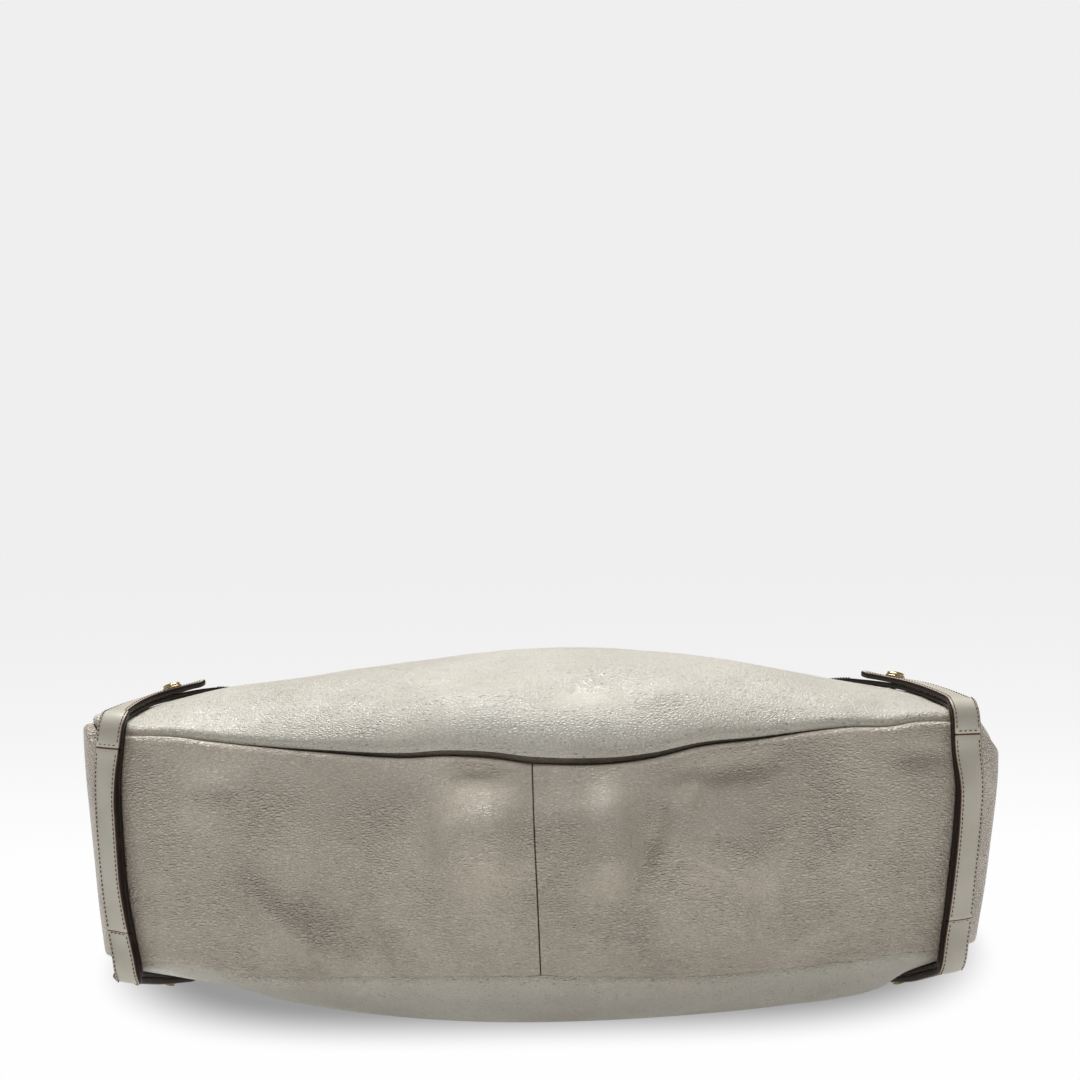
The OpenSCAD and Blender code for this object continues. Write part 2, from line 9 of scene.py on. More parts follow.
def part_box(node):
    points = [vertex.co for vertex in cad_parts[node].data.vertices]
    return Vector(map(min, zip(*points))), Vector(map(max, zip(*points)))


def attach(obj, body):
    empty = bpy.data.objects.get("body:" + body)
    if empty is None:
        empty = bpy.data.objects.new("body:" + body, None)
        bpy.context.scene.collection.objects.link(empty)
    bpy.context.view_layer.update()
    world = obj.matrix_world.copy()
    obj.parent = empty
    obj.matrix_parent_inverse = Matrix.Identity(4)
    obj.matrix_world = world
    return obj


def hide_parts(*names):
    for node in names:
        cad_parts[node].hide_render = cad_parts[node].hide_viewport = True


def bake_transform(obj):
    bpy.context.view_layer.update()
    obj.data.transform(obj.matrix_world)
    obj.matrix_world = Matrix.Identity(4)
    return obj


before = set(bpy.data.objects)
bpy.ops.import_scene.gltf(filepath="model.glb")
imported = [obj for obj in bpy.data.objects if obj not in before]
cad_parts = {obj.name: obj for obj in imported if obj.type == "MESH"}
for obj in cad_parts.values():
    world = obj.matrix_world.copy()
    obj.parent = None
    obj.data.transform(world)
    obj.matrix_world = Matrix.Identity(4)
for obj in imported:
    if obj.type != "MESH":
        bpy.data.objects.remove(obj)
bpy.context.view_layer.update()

# Shapes are worked out in millimetres and go into Blender in metres.
MM = 0.001
# How fine the grids are, as a share of their full count of lines.
FINENESS = 1.0


# ---- Small sums ----

def unit(v):
    return v / np.maximum(np.linalg.norm(v, axis=-1, keepdims=True), 1e-9)


def dot(a, b):
    return (a * b).sum(-1, keepdims=True)


def mix(a, b, share):
    return a + (b - a) * share


def ease(t):
    """0 to 1 with a soft start and a soft end."""
    k = np.clip(t, 0.0, 1.0)
    return k * k * (3.0 - 2.0 * k)


def through(knots, t):
    """A smooth curve through (place, value) knots, at the places t. A value may be a point."""
    places = np.array([place for place, _ in knots], float)
    values = np.array([value for _, value in knots], float)
    flat = values.ndim > 1
    run = places[2:] - places[:-2]
    middle = (values[2:] - values[:-2]) / (run[:, None] if flat else run)
    first = (values[1] - values[0]) / (places[1] - places[0])
    last = (values[-1] - values[-2]) / (places[-1] - places[-2])
    slopes = np.concatenate([[first], middle, [last]])
    k = np.clip(t, places[0], places[-1])
    i = np.clip(np.searchsorted(places, k, side="right") - 1, 0, len(places) - 2)
    step = places[i + 1] - places[i]
    s = (k - places[i]) / step
    if flat:
        s, step = s[..., None], step[..., None]
    return (
        (2 * s**3 - 3 * s**2 + 1) * values[i]
        + (s**3 - 2 * s**2 + s) * step * slopes[i]
        + (3 * s**2 - 2 * s**3) * values[i + 1]
        + (s**3 - s**2) * step * slopes[i + 1]
    )


def ripple(points, size, seed, stretch=(1.0, 1.0, 1.0)):
    """Soft unevenness between about -1 and 1, with hollows about size millimetres apart."""
    draw = np.random.default_rng(seed)
    ways = unit(draw.normal(size=(20, 3))) * draw.uniform(0.6, 1.4, (20, 1)) / size * 2 * math.pi
    starts = draw.uniform(0, 2 * math.pi, 20)
    return np.cos((points / np.array(stretch)) @ ways.T + starts).sum(-1) / 5.0


def puff(across, along, at, half, turn, height, edge=1.0):
    """A soft rise of the hide, or a hollow where height is below 0. A higher edge makes it flatter
    on top with a plainer outline. turn is in degrees."""
    c, s = math.cos(math.radians(turn)), math.sin(math.radians(turn))
    a = ((across - at[0]) * c + (along - at[1]) * s) / half[0]
    b = ((along - at[1]) * c - (across - at[0]) * s) / half[1]
    return height * np.exp(-((a * a + b * b) ** edge))


# ---- The bag's shell ----

BASE_HALF = 192.0
CORNER_R = 36.0
MOUTH_HALF = 150.0
BASE_BOW = 18.0
BASE_Y = -130.0
CORNER_Y = BASE_Y + CORNER_R
MOUTH_Y = round(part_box("front_panel")[1].y / MM)
MOUTH_MID_Y = MOUTH_Y - 24.0
STRAIGHT_Y = 128.0
CORNER_X = BASE_HALF + CORNER_R * math.sqrt(0.5)
CORNER_MID_Y = CORNER_Y - CORNER_R * math.sqrt(0.5)
BACK_INSET = 8.0

# Heights above the surface it lies on, from the base seam (0) to the mouth (1).
FRONT_CENTRE = [
    (0, 150), (0.012, 160), (0.03, 168), (0.055, 173.5), (0.09, 177.5), (0.14, 181), (0.25, 186),
    (0.35, 190), (0.45, 191), (0.55, 188), (0.65, 178), (0.75, 158), (0.85, 124), (0.93, 90), (1, 60),
]
FRONT_SIDE = [
    (0, 163), (0.06, 159), (0.2, 158), (0.3, 156), (0.45, 146), (0.65, 116), (0.85, 74), (1, 50),
]
FRONT_SHOULDER = [(0, 0), (0.04, 4), (0.08, 7), (0.15, 9.5), (0.3, 10), (0.6, 9), (0.85, 5), (1, 0)]
BACK_CENTRE = [
    (0, 47), (0.05, 32), (0.1, 22), (0.16, 13), (0.22, 6), (0.3, -1), (0.4, -5), (0.5, -7),
    (0.8, -6), (0.9, -3), (1, 5),
]
BACK_SIDE = [(0, 50), (0.1, 44), (0.2, 37), (0.3, 32), (0.45, 24), (0.65, 18), (0.85, 17), (1, 18)]
BAND_SWELL = [(0, 9), (0.6, 9), (0.9, 6), (1, 3), (1.15, 1), (1.6, 0), (2, 0)]

# How this bag has settled, by place along X: how far each part sits above its even shape.
SEAM_SETTLED = [
    (-228, 3), (-192, 1.4), (-174, 0.2), (-157, -2), (-130, -3), (-98, -2.5), (-66, -1.6), (-45, 0.6),
    (-24, 0.4), (-5, -1.9), (28, -3.6), (51, -2.7), (75, 0.3), (103, 0), (145, 0.6), (165, -0.6),
    (181, 1.6), (205, 1), (228, 0),
]
CROWN_SETTLED = [
    (-215, 0), (-190, 3), (-160, 6), (-133, 6.3), (-105, 5.6), (-77, 3.8), (-50, 1.7), (-22, 0.3),
    (11, 0), (44, 2.9), (77, 6.2), (99, 7.2), (121, 6.8), (144, 5), (166, 3), (190, 1), (215, 0),
]
BACK_SEAM_SETTLED = [
    (-228, 0), (-172, 1.4), (-137, -3.3), (-56, -0.5), (0, 0), (75, -3.5), (145, -1.6), (169, 0), (228, 0),
]
BELLY_SETTLED = [
    (-228, 0), (-180, 1.5), (-160, 2.5), (-130, 0), (0, 0), (75, -2), (122, -5), (145, -7), (169, -7),
    (183, -3), (228, 0),
]


def settled(points):
    """Where the bag's even shape has come to rest after use."""
    x, y, z = points[..., 0], points[..., 1], points[..., 2]
    toward_crown = ease((y + 146) / 70)
    upper = mix(through(SEAM_SETTLED, x), through(CROWN_SETTLED, x), toward_crown)
    rise = upper * ease((z - 70) / 75) * (1 - ease((y - 10) / 100))
    by_base = 1 - ease((y + 60) / 90)
    fallen_corner = -13 * ease((x - 208) / 20) * ease((z - 40) / 110) * by_base
    lifted_corner = 7 * ease((-x - 208) / 18) * ease((z - 105) / 45) * by_base
    below_seam = ease((48 - z) / 22)
    lower = mix(through(BACK_SEAM_SETTLED, x), through(BELLY_SETTLED, x), below_seam)
    drop = lower * ease((90 - z) / 40) * ease(z / 14) * (1 - ease((y + 90) / 60))
    low_side = 1 - 0.8 * ease((z - 120) / 40)
    drawn_in = (2 * ease((-x - 150) / 70) - 5 * ease((x - 150) / 70)) * low_side
    drawn_in = drawn_in - 5 * ease((x - 211) / 15) * ease((138 - z) / 34)
    drawn_in = drawn_in * (1 - ease((y + 20) / 120))
    return np.stack([x + drawn_in, y, np.maximum(z + rise + fallen_corner + lifted_corner + drop, 0)], -1)


# How strongly the puffs of the base and of the front show, and how square the panels' shoulders are.
BASE_PUFFED = 2.6
FRONT_PUFFED = 1.15
FRONT_SQUARE = 18
BACK_SQUARE = 2.4


def base_relief(x, z):
    """How far the hide of the base stands out, in puffs between the drawn-in stretches of seam."""
    return (
        puff(x, z, (-31, 114), (17, 27), -8, 3.4, 1.7)
        + puff(x, z, (-29, 144), (13, 7), -6, -2.4)
        + puff(x, z, (-3, 112), (10, 40), 0, -0.9)
        + puff(x, z, (-4, 117), (44, 20), 0, 1.7, 1.5)
        + puff(x, z, (29, 120), (11, 25), 4, 3.0, 1.5)
        + puff(x, z, (27, 100), (16, 11), 12, 1.8, 1.4)
        + puff(x, z, (47, 106), (19, 5), 62, -1.9)
        + puff(x, z, (84, 144), (26, 8), 6, -2.4)
        + puff(x, z, (83, 106), (22, 15), -24, 2.2, 1.5)
        + puff(x, z, (66, 130), (22, 6), 56, 1.1)
        + puff(x, z, (91, 72), (5, 24), 0, 0.8)
        + puff(x, z, (-158, 133), (16, 12), 0, 1.4, 1.2)
        + puff(x, z, (-178, 101), (13, 22), 8, 1.3, 1.2)
        + puff(x, z, (-119, 72), (28, 8), -42, 1.7, 1.2)
        + puff(x, z, (-100, 80), (26, 9), -42, -1.3)
        + puff(x, z, (180, 147), (14, 8), 0, -1.8)
        + puff(x, z, (150, 128), (16, 22), 10, -1.2)
        + puff(x, z, (28, 68), (24, 15), 0, 0.9)
    )


def front_relief(x, y):
    return (
        puff(x, y, (21, -108), (19, 16), 0, -4.2)
        + puff(x, y, (-8, -121), (16, 9), 12, 1.8)
        + puff(x, y, (61, -124), (20, 10), -8, 2.2)
        + puff(x, y, (28, -137), (8, 6), 0, 1.2)
        + puff(x, y, (-54, -126), (26, 10), 4, 1.6)
        + puff(x, y, (150, -120), (18, 12), 0, 1.0)
        + puff(x, y, (-120, -118), (24, 12), 0, 0.9)
    )


def base_line(x):
    bowed = BASE_Y - BASE_BOW * np.cos(np.pi / 2 * np.minimum(np.abs(x) / BASE_HALF, 1)) ** 2
    round_corner = CORNER_Y - np.sqrt(np.maximum(CORNER_R**2 - (np.abs(x) - BASE_HALF) ** 2, 0))
    return np.where(np.abs(x) < BASE_HALF, bowed, round_corner)


def side_line(y):
    k = np.clip((STRAIGHT_Y - y) / (STRAIGHT_Y - CORNER_Y), 0, 1)
    flared = MOUTH_HALF + (BASE_HALF + CORNER_R - MOUTH_HALF) * k * k * (3 - 2 * k)
    round_corner = BASE_HALF + np.sqrt(np.maximum(CORNER_R**2 - (y - CORNER_Y) ** 2, 0))
    return np.where(y > CORNER_Y, flared, round_corner)


def plan(u, v):
    side_x = side_line(mix(CORNER_MID_Y, MOUTH_Y, v))
    mouth_line = MOUTH_MID_Y + (MOUTH_Y - MOUTH_MID_Y) * u * u
    return u * side_x, mix(base_line(u * CORNER_X), mouth_line, v)


# The way the front panel's puffs rise: up, and a little toward the base.
UP_AND_OUT = np.array([0, -0.35, 0.94])


def front(u, v):
    """The front panel's outside. u runs from the left side (-1) to the right, v from base to mouth."""
    x, y = plan(u, v)
    side = through(FRONT_SIDE, v)
    shoulder = through(FRONT_SHOULDER, v)
    crown = through(FRONT_CENTRE, v) - side - shoulder
    z = side + shoulder * (1 - np.abs(u) ** FRONT_SQUARE) + crown * (1 + np.cos(np.pi * u)) / 2
    even = np.stack([x, y, z], -1)
    soft = ripple(even, 88, 3) * 0.6 + ripple(even, 36, 4) * 0.22
    inside_seams = ease(v * 12) * ease((1 - np.abs(u)) * 9) * ease((1 - v) * 5)
    lift = (FRONT_PUFFED * front_relief(x, y) + soft) * inside_seams
    return settled(even + lift[..., None] * UP_AND_OUT)


def back(u, v):
    x, y = plan(u, v)
    side = through(BACK_SIDE, v)
    z = side + (through(BACK_CENTRE, v) - side) * (1 - np.abs(u) ** BACK_SQUARE)
    x = x * (1 - BACK_INSET * (1 - v) / CORNER_X)
    return settled(np.stack([x, y, np.maximum(z, 0.0)], -1))


def seam_of(surface, t):
    """A panel's seam with the gusset. t is u on the base, and 1 + v up a side."""
    return surface(np.clip(t, -1, 1), np.clip(np.abs(t) - 1, 0, 1))


def band_out(t):
    ahead = seam_of(front, np.clip(t + 0.004, -2, 2))
    behind = seam_of(front, np.clip(t - 0.004, -2, 2))
    d = ahead - behind
    return unit(np.stack([d[..., 1], -d[..., 0], np.zeros_like(d[..., 0])], -1))


def band(t, q):
    """The gusset's outside, q from the back seam to the front seam."""
    bulge = 1 - np.abs(2 * q - 1) ** 2.2
    flat = mix(seam_of(back, t), seam_of(front, t), q[..., None])
    out = band_out(t)
    soft = ripple(flat, 76, 7) * 0.7 + ripple(flat, 31, 8) * 0.3
    on_base = ease((1.02 - np.abs(t)) * 8)
    relief = BASE_PUFFED * base_relief(flat[..., 0], flat[..., 2]) * on_base + soft
    fading = ease(bulge * 1.6) * (1 - ease(np.abs(t) - 1) * 0.7)
    stands = through(BAND_SWELL, np.abs(t)) * bulge + relief * fading
    return flat + out * stands[..., None]


# ---- Meshes ----

def make_object(name, points, faces, zones=None):
    """A mesh from points in millimetres. zones gives each face's material slot."""
    mesh = bpy.data.meshes.new(name)
    mesh.from_pydata((np.asarray(points) * MM).tolist(), [], [list(map(int, f)) for f in faces])
    if zones is not None:
        mesh.polygons.foreach_set("material_index", np.asarray(zones, np.int32))
    mesh.validate()
    mesh.shade_smooth()
    mesh.update()
    made = bpy.data.objects.new(name, mesh)
    bpy.context.scene.collection.objects.link(made)
    return made


def grid_faces(rows, columns, flip=False):
    i, j = np.meshgrid(np.arange(rows - 1), np.arange(columns - 1), indexing="ij")
    a = (i * columns + j).ravel()
    quads = np.stack([a, a + 1, a + columns + 1, a + columns], -1)
    return quads[:, ::-1] if flip else quads


def point_normals(points, faces):
    """Area-weighted normals at the points of a quad mesh."""
    a, b, c, d = (points[faces[:, k]] for k in range(4))
    across = np.cross(c - a, d - b)
    normals = np.zeros_like(points)
    for k in range(4):
        np.add.at(normals, faces[:, k], across)
    return unit(normals)


def drop_slivers(points, faces, deep, gap=1e-4):
    """Joins points that lie on each other and drops the faces that this closes. deep marks points,
    and the faces left between marked points go in a zone of their own, which is painted with seam shade."""
    keys = np.round(points / gap).astype(np.int64)
    _, first, index = np.unique(keys, axis=0, return_index=True, return_inverse=True)
    kept, zones = [], []
    for face in faces:
        ends = index.reshape(-1)[face]
        corners = [int(p) for k, p in enumerate(ends) if p != ends[k - 1]]
        if len(set(corners)) == len(corners) and len(corners) > 2:
            kept.append(corners)
            zones.append(2 if deep[face].all() else 0)
    return points[first], kept, zones


# How a cut edge is rounded: how far down the thickness, and how far out in thicknesses.
CUT_EDGE = [(0.05, 0.13), (0.16, 0.2), (0.32, 0.235), (0.5, 0.245), (0.7, 0.235), (0.88, 0.19), (0.97, 0.11)]


def skin(name, points, faces, thickness, zones=(0, 0, (1,)), edge=CUT_EDGE):
    """A sheet of even thickness under a surface of quads, closed by rounded cut edges.

    zones are the material slots of its outside, its inside, and its edge from the outside in."""
    normals = point_normals(points, faces)
    seen = {(int(f[k]), int(f[(k + 1) % 4])) for f in faces for k in range(4)}
    rim = np.array([(a, b) for a, b in sorted(seen) if (b, a) not in seen])
    border = np.unique(rim)
    place = np.searchsorted(border, rim)
    out = np.zeros((len(border), 3))
    sides = np.cross(points[rim[:, 1]] - points[rim[:, 0]], normals[rim[:, 0]] + normals[rim[:, 1]])
    np.add.at(out, place[:, 0], sides)
    np.add.at(out, place[:, 1], sides)
    out = unit(out)
    count = len(points)
    layers = [points, points - normals * thickness]
    rings = [border]
    for k, (down, reach) in enumerate(edge):
        layers.append(points[border] + (out * reach - normals[border] * down) * thickness)
        rings.append(2 * count + k * len(border) + np.arange(len(border)))
    rings.append(border + count)
    quads = [faces, faces[:, ::-1] + count]
    slots = [zones[0]] * len(faces) + [zones[1]] * len(faces)
    for k, (near, far) in enumerate(zip(rings[:-1], rings[1:])):
        a, b = place[:, 0], place[:, 1]
        quads.append(np.stack([near[b], near[a], far[a], far[b]], -1))
        slots += [zones[2][min(k, len(zones[2]) - 1)]] * len(rim)
    return make_object(name, np.concatenate(layers), np.concatenate(quads), slots)


def lathe(profile, place, out, sides=48):
    """Points and quads of a turned shape. profile is (radius, height) along the axis out."""
    out = unit(np.asarray(out, float))
    first = unit(np.cross(out, [0.3, 0.9, 0.1]))
    second = np.cross(out, first)
    turn = np.linspace(0, 2 * math.pi, sides, endpoint=False)
    round_ways = np.cos(turn)[:, None] * first + np.sin(turn)[:, None] * second
    rows = [place + round_ways * r + out * h for r, h in profile]
    faces = []
    for i in range(len(profile) - 1):
        for j in range(sides):
            k = (j + 1) % sides
            faces.append([i * sides + j, i * sides + k, (i + 1) * sides + k, (i + 1) * sides + j])
    return np.concatenate(rows), np.array(faces)


def softened(profile, steps=5):
    """A turned profile with its corners rounded off."""
    rows = np.array(profile, float)
    for _ in range(steps // 2):
        middle = [rows[0]]
        for a, b in zip(rows[:-1], rows[1:]):
            middle += [mix(a, b, 0.2), mix(a, b, 0.8)]
        rows = np.array(middle + [rows[-1]])
    return [tuple(row) for row in rows]


def joined(parts):
    """Several (points, faces) as one."""
    points, faces, count = [], [], 0
    for some, quads in parts:
        points.append(some)
        faces.append(np.asarray(quads) + count)
        count += len(some)
    return np.concatenate(points), np.concatenate(faces)


def evenly(path, pitch):
    """Places along a line of points at an even pitch, as (index, share) to interpolate with."""
    steps = np.linalg.norm(np.diff(path, axis=0), axis=1)
    run = np.concatenate([[0], np.cumsum(steps)])
    count = max(int(run[-1] // pitch), 1)
    at = (np.arange(count) + 0.5) * run[-1] / count
    index = np.clip(np.searchsorted(run, at) - 1, 0, len(steps) - 1)
    return index, (at - run[index]) / np.maximum(steps[index], 1e-9)


def stitch_row(path, outs, pitch=2.1, length=1.6, thick=0.46):
    """Saddle stitches along a line: each rises from its hole, lies on the leather and dives again."""
    index, share = evenly(path, pitch)
    centres = mix(path[index], path[index + 1], share[:, None])
    along = unit(path[index + 1] - path[index])
    out = unit(mix(outs[index], outs[index + 1], share[:, None]))
    across = unit(np.cross(out, along))
    sides, rings = 6, 7
    s = np.linspace(-1, 1, rings)
    reach = length / 2 * s
    girth = thick / 2 * np.sqrt(np.maximum(1 - np.abs(s) ** 5, 0.02))
    height = thick * (0.22 - 0.75 * np.abs(s) ** 3)
    turn = np.linspace(0, 2 * math.pi, sides, endpoint=False)
    ring_across = np.cos(turn)[None, :] * girth[:, None]
    ring_out = np.sin(turn)[None, :] * girth[:, None] + height[:, None]
    points = (
        centres[:, None, None, :]
        + along[:, None, None, :] * reach[None, :, None, None]
        + across[:, None, None, :] * ring_across[None, :, :, None]
        + out[:, None, None, :] * ring_out[None, :, :, None]
    )
    i, j = np.meshgrid(np.arange(rings - 1), np.arange(sides), indexing="ij")
    k = (j + 1) % sides
    one = np.stack([i * sides + j, i * sides + k, (i + 1) * sides + k, (i + 1) * sides + j], -1)
    starts = np.arange(len(centres)) * sides * rings
    faces = one.reshape(-1, 4)[None] + starts[:, None, None]
    return points.reshape(-1, 3), faces.reshape(-1, 4)


def apply_modifiers(piece):
    ready = piece.evaluated_get(bpy.context.evaluated_depsgraph_get())
    mesh = bpy.data.meshes.new_from_object(ready)
    piece.modifiers.clear()
    piece.data = mesh


def give(piece, body, materials, nodes=()):
    """Finishes a piece: what it moves with, what it is made of, and the CAD nodes it stands for."""
    for material in materials:
        piece.data.materials.append(material)
    if body:
        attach(piece, body)
    if nodes:
        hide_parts(*nodes)
    return piece


# ---- Materials ----

def linear(hex_colour):
    """An sRGB hex colour as Blender's linear one."""
    parts = [int(hex_colour[k:k + 2], 16) / 255 for k in (1, 3, 5)]
    return (*[p / 12.92 if p <= 0.04045 else ((p + 0.055) / 1.055) ** 2.4 for p in parts], 1.0)


def every(size):
    """A pattern's scale in Blender, from the size of one of its cells in millimetres."""
    return 1 / (size * MM)


def ribbed(apart):
    """A wave pattern's scale, from the millimetres between one of its ribs and the next. The wave
    turns through twenty radians to each unit of its scale."""
    return 2 * math.pi / (20 * apart * MM)


def add(tree, kind, inputs=None, **settings):
    """Adds a node. inputs maps an input's name or number to a value, a node, or (node, output)."""
    node = tree.nodes.new("ShaderNode" + kind)
    for key, value in settings.items():
        setattr(node, key, value)
    for key, value in (inputs or {}).items():
        socket = node.inputs[key]
        if isinstance(value, tuple) and isinstance(value[0], bpy.types.Node):
            tree.links.new(value[0].outputs[value[1]], socket)
        elif isinstance(value, bpy.types.Node):
            tree.links.new(value.outputs[0], socket)
        else:
            socket.default_value = value
    return node


# A MapRange carries inputs 1..2 over to 3..4 with soft ends. A Mix goes from colour 6 to colour 7.
SOFT = {"interpolation_type": "SMOOTHSTEP"}
COLOURS = {"data_type": "RGBA"}


def start_material(name):
    material = bpy.data.materials.new(name)
    material.use_nodes = True
    tree = material.node_tree
    tree.nodes.clear()
    return material, tree, (add(tree, "TexCoord"), "Object")


def close_material(tree, colour, roughness, bump, **sockets):
    """Brings a surface together: its colour, its gloss, its relief, and any other socket."""
    shader = add(tree, "BsdfPrincipled", {"Base Color": colour, "Roughness": roughness, "Normal": bump})
    for name, value in sockets.items():
        shader.inputs[name.replace("_", " ")].default_value = value
    add(tree, "OutputMaterial", {"Surface": shader})


def pebbled_calf(name, colour, shade, grain=1.3, pull=0.42, relief=0.62, pores=0.3):
    """Pebbled calf, drum-dyed bone and finished satin: pebbles a couple of millimetres across,
    drawn out along the bag, with creases between them darkened with a little painted shade,
    pin-prick pores that are darker, and a colour that drifts slightly from patch to patch. grain is
    a pebble's height and relief its depth in millimetres, and pull its height over its length."""
    material, tree, place = start_material(name)
    drawn = add(tree, "Mapping", {"Vector": place, "Scale": (pull, 1.0, 1.0)})
    drift = add(tree, "TexNoise", {"Vector": drawn, "Scale": every(4.1667), "Detail": 2.0})
    wander = (1.1 * MM, 1.1 * MM, 1.1 * MM)
    bent = add(tree, "VectorMath", {0: (drift, "Color"), 1: wander, 2: drawn}, operation="MULTIPLY_ADD")
    cells = add(tree, "TexVoronoi", {"Vector": bent, "Scale": every(grain)}, feature="DISTANCE_TO_EDGE")
    crease = add(tree, "MapRange", {0: (cells, "Distance"), 1: 0.0, 2: 0.42, 3: 0.0, 4: 1.0}, **SOFT)
    small = add(
        tree, "TexVoronoi", {"Vector": bent, "Scale": every(grain / 2.3)}, feature="DISTANCE_TO_EDGE",
    )
    fine = add(tree, "MapRange", {0: (small, "Distance"), 1: 0.0, 2: 0.42, 3: 0.0, 4: 1.0}, **SOFT)
    wear = add(tree, "TexNoise", {"Vector": place, "Scale": every(29.412), "Detail": 3.0})
    depth = add(tree, "MapRange", {0: (wear, 0), 1: 0.3, 2: 0.7, 3: 0.25, 4: 1.0}, **SOFT)
    pebbles = add(tree, "Math", {0: crease, 1: depth}, operation="MULTIPLY")
    grainy = add(tree, "Math", {0: fine, 1: 0.3, 2: pebbles}, operation="MULTIPLY_ADD")
    slots = add(tree, "Mapping", {"Vector": place, "Scale": (0.42, 1.0, 1.0)})
    pits = add(tree, "TexVoronoi", {"Vector": slots, "Scale": every(2.0833)}, feature="F1")
    pit = add(tree, "MapRange", {0: (pits, "Distance"), 1: 0.10, 2: 0.26, 3: 0.0, 4: 1.0}, **SOFT)
    height = add(tree, "Math", {0: pit, 1: pores, 2: grainy}, operation="MULTIPLY_ADD")
    bump = add(tree, "Bump", {"Height": height, "Strength": 1.0, "Distance": relief * MM})
    cloud = add(tree, "TexNoise", {"Vector": place, "Scale": every(66.667), "Detail": 4.0})
    patch = add(tree, "MapRange", {0: (cloud, 0), 1: 0.35, 2: 0.65, 3: 0.0, 4: 1.0}, **SOFT)
    tone = add(tree, "Mix", {0: patch, 6: linear(colour), 7: linear(shade)}, **COLOURS)
    dark_pit = add(tree, "MapRange", {0: pit, 1: 0.0, 2: 0.8, 3: 1.0 - pores * 0.5, 4: 1.0}, **SOFT)
    # Painted shade darkens the colour in the creases between the pebbles, and the pores are darkened as well.
    painted_crease_shade = add(tree, "MapRange", {0: crease, 1: 0.0, 2: 0.3, 3: 0.84, 4: 1.0}, **SOFT)
    crease_shade_and_dark_pores = add(tree, "Math", {0: painted_crease_shade, 1: dark_pit}, operation="MULTIPLY")
    tinted = add(tree, "VectorMath", {0: (tone, 2), "Scale": crease_shade_and_dark_pores}, operation="SCALE")
    satin = add(tree, "MapRange", {0: (wear, 0), 1: 0.3, 2: 0.7, 3: 0.27, 4: 0.38}, **SOFT)
    close_material(tree, tinted, satin, bump, IOR=1.47)
    return material


def smooth_calf(name, colour, shade, relief=0.045, roughness=0.42):
    """Vegetable-tanned strap calf, glazed nearly smooth: only fine hair pores and faint stretch
    lines show, so the belts look harder and flatter than the body."""
    material, tree, place = start_material(name)
    pores = add(tree, "TexNoise", {"Vector": place, "Scale": every(1.1111), "Detail": 2.0})
    lines = add(tree, "TexNoise", {"Vector": place, "Scale": every(5.2632), "Detail": 5.0, "Roughness": 0.7})
    height = add(tree, "Math", {0: (pores, 0), 1: 0.5, 2: (lines, 0)}, operation="MULTIPLY_ADD")
    bump = add(tree, "Bump", {"Height": height, "Strength": 1.0, "Distance": relief * MM})
    cloud = add(tree, "TexNoise", {"Vector": place, "Scale": every(25.0), "Detail": 5.0})
    patch = add(tree, "MapRange", {0: (cloud, 0), 1: 0.35, 2: 0.7, 3: 0.0, 4: 1.0}, **SOFT)
    tone = add(tree, "Mix", {0: patch, 6: linear(colour), 7: linear(shade)}, **COLOURS)
    low, high = roughness - 0.06, roughness + 0.06
    gloss = add(tree, "MapRange", {0: (lines, 0), 1: 0.3, 2: 0.7, 3: low, 4: high}, **SOFT)
    close_material(tree, (tone, 2), gloss, bump, IOR=1.47)
    return material


def edge_paint(name, colour, worn, roughness):
    """Edge paint brushed on in layers and rubbed glossy, with slight ridges along the cut and
    lighter where it has worn."""
    material, tree, place = start_material(name)
    ridges = add(tree, "TexNoise", {"Vector": place, "Scale": every(1.9231), "Detail": 4.0})
    bump = add(tree, "Bump", {"Height": (ridges, 0), "Strength": 1.0, "Distance": 0.10 * MM})
    rubbed = add(tree, "TexNoise", {"Vector": place, "Scale": every(10.526), "Detail": 5.0})
    bare = add(tree, "MapRange", {0: (rubbed, 0), 1: 0.5, 2: 0.78, 3: 0.0, 4: 1.0}, **SOFT)
    tone = add(tree, "Mix", {0: bare, 6: linear(colour), 7: linear(worn)}, **COLOURS)
    close_material(tree, (tone, 2), roughness, bump, IOR=1.38)
    return material


def flesh_side(name, colour, pale):
    """The flesh side of the hide, brushed and left unfinished: a dull nap of short fibres."""
    material, tree, place = start_material(name)
    nap = add(tree, "TexNoise", {"Vector": place, "Scale": every(1.1111), "Detail": 6.0, "Roughness": 0.75})
    bump = add(tree, "Bump", {"Height": (nap, 0), "Strength": 1.0, "Distance": 0.25 * MM})
    tone = add(tree, "Mix", {0: (nap, 0), 6: linear(colour), 7: linear(pale)}, **COLOURS)
    close_material(tree, (tone, 2), 0.95, bump)
    return material


def woven(name, colour, dark, apart, slant):
    """Ribbed cloth: two sets of ribs that cross, with the gaps between them darker. apart is the
    millimetres from one rib to the next, and slant above 0 makes the diagonal rib of a twill."""
    material, tree, place = start_material(name)
    turned = add(tree, "Mapping", {"Vector": place, "Rotation": (0.0, 0.0, slant)})
    ribs = {"Vector": turned, "Scale": ribbed(apart), "Distortion": 0.4}
    warp = add(tree, "TexWave", ribs, bands_direction="X")
    weft = add(tree, "TexWave", ribs, bands_direction="Y")
    cross = add(tree, "Math", {0: (warp, 1), 1: (weft, 1)}, operation="MULTIPLY")
    slub = add(tree, "TexNoise", {"Vector": place, "Scale": every(3.3333), "Detail": 4.0})
    height = add(tree, "Math", {0: (slub, 0), 1: 0.5, 2: cross}, operation="MULTIPLY_ADD")
    bump = add(tree, "Bump", {"Height": height, "Strength": 1.0, "Distance": 0.12 * MM})
    raised = add(tree, "MapRange", {0: height, 1: 0.1, 2: 1.0, 3: 0.0, 4: 1.0}, **SOFT)
    tone = add(tree, "Mix", {0: raised, 6: linear(dark), 7: linear(colour)}, **COLOURS)
    close_material(tree, (tone, 2), 0.85, bump, Sheen_Weight=0.2)
    return material


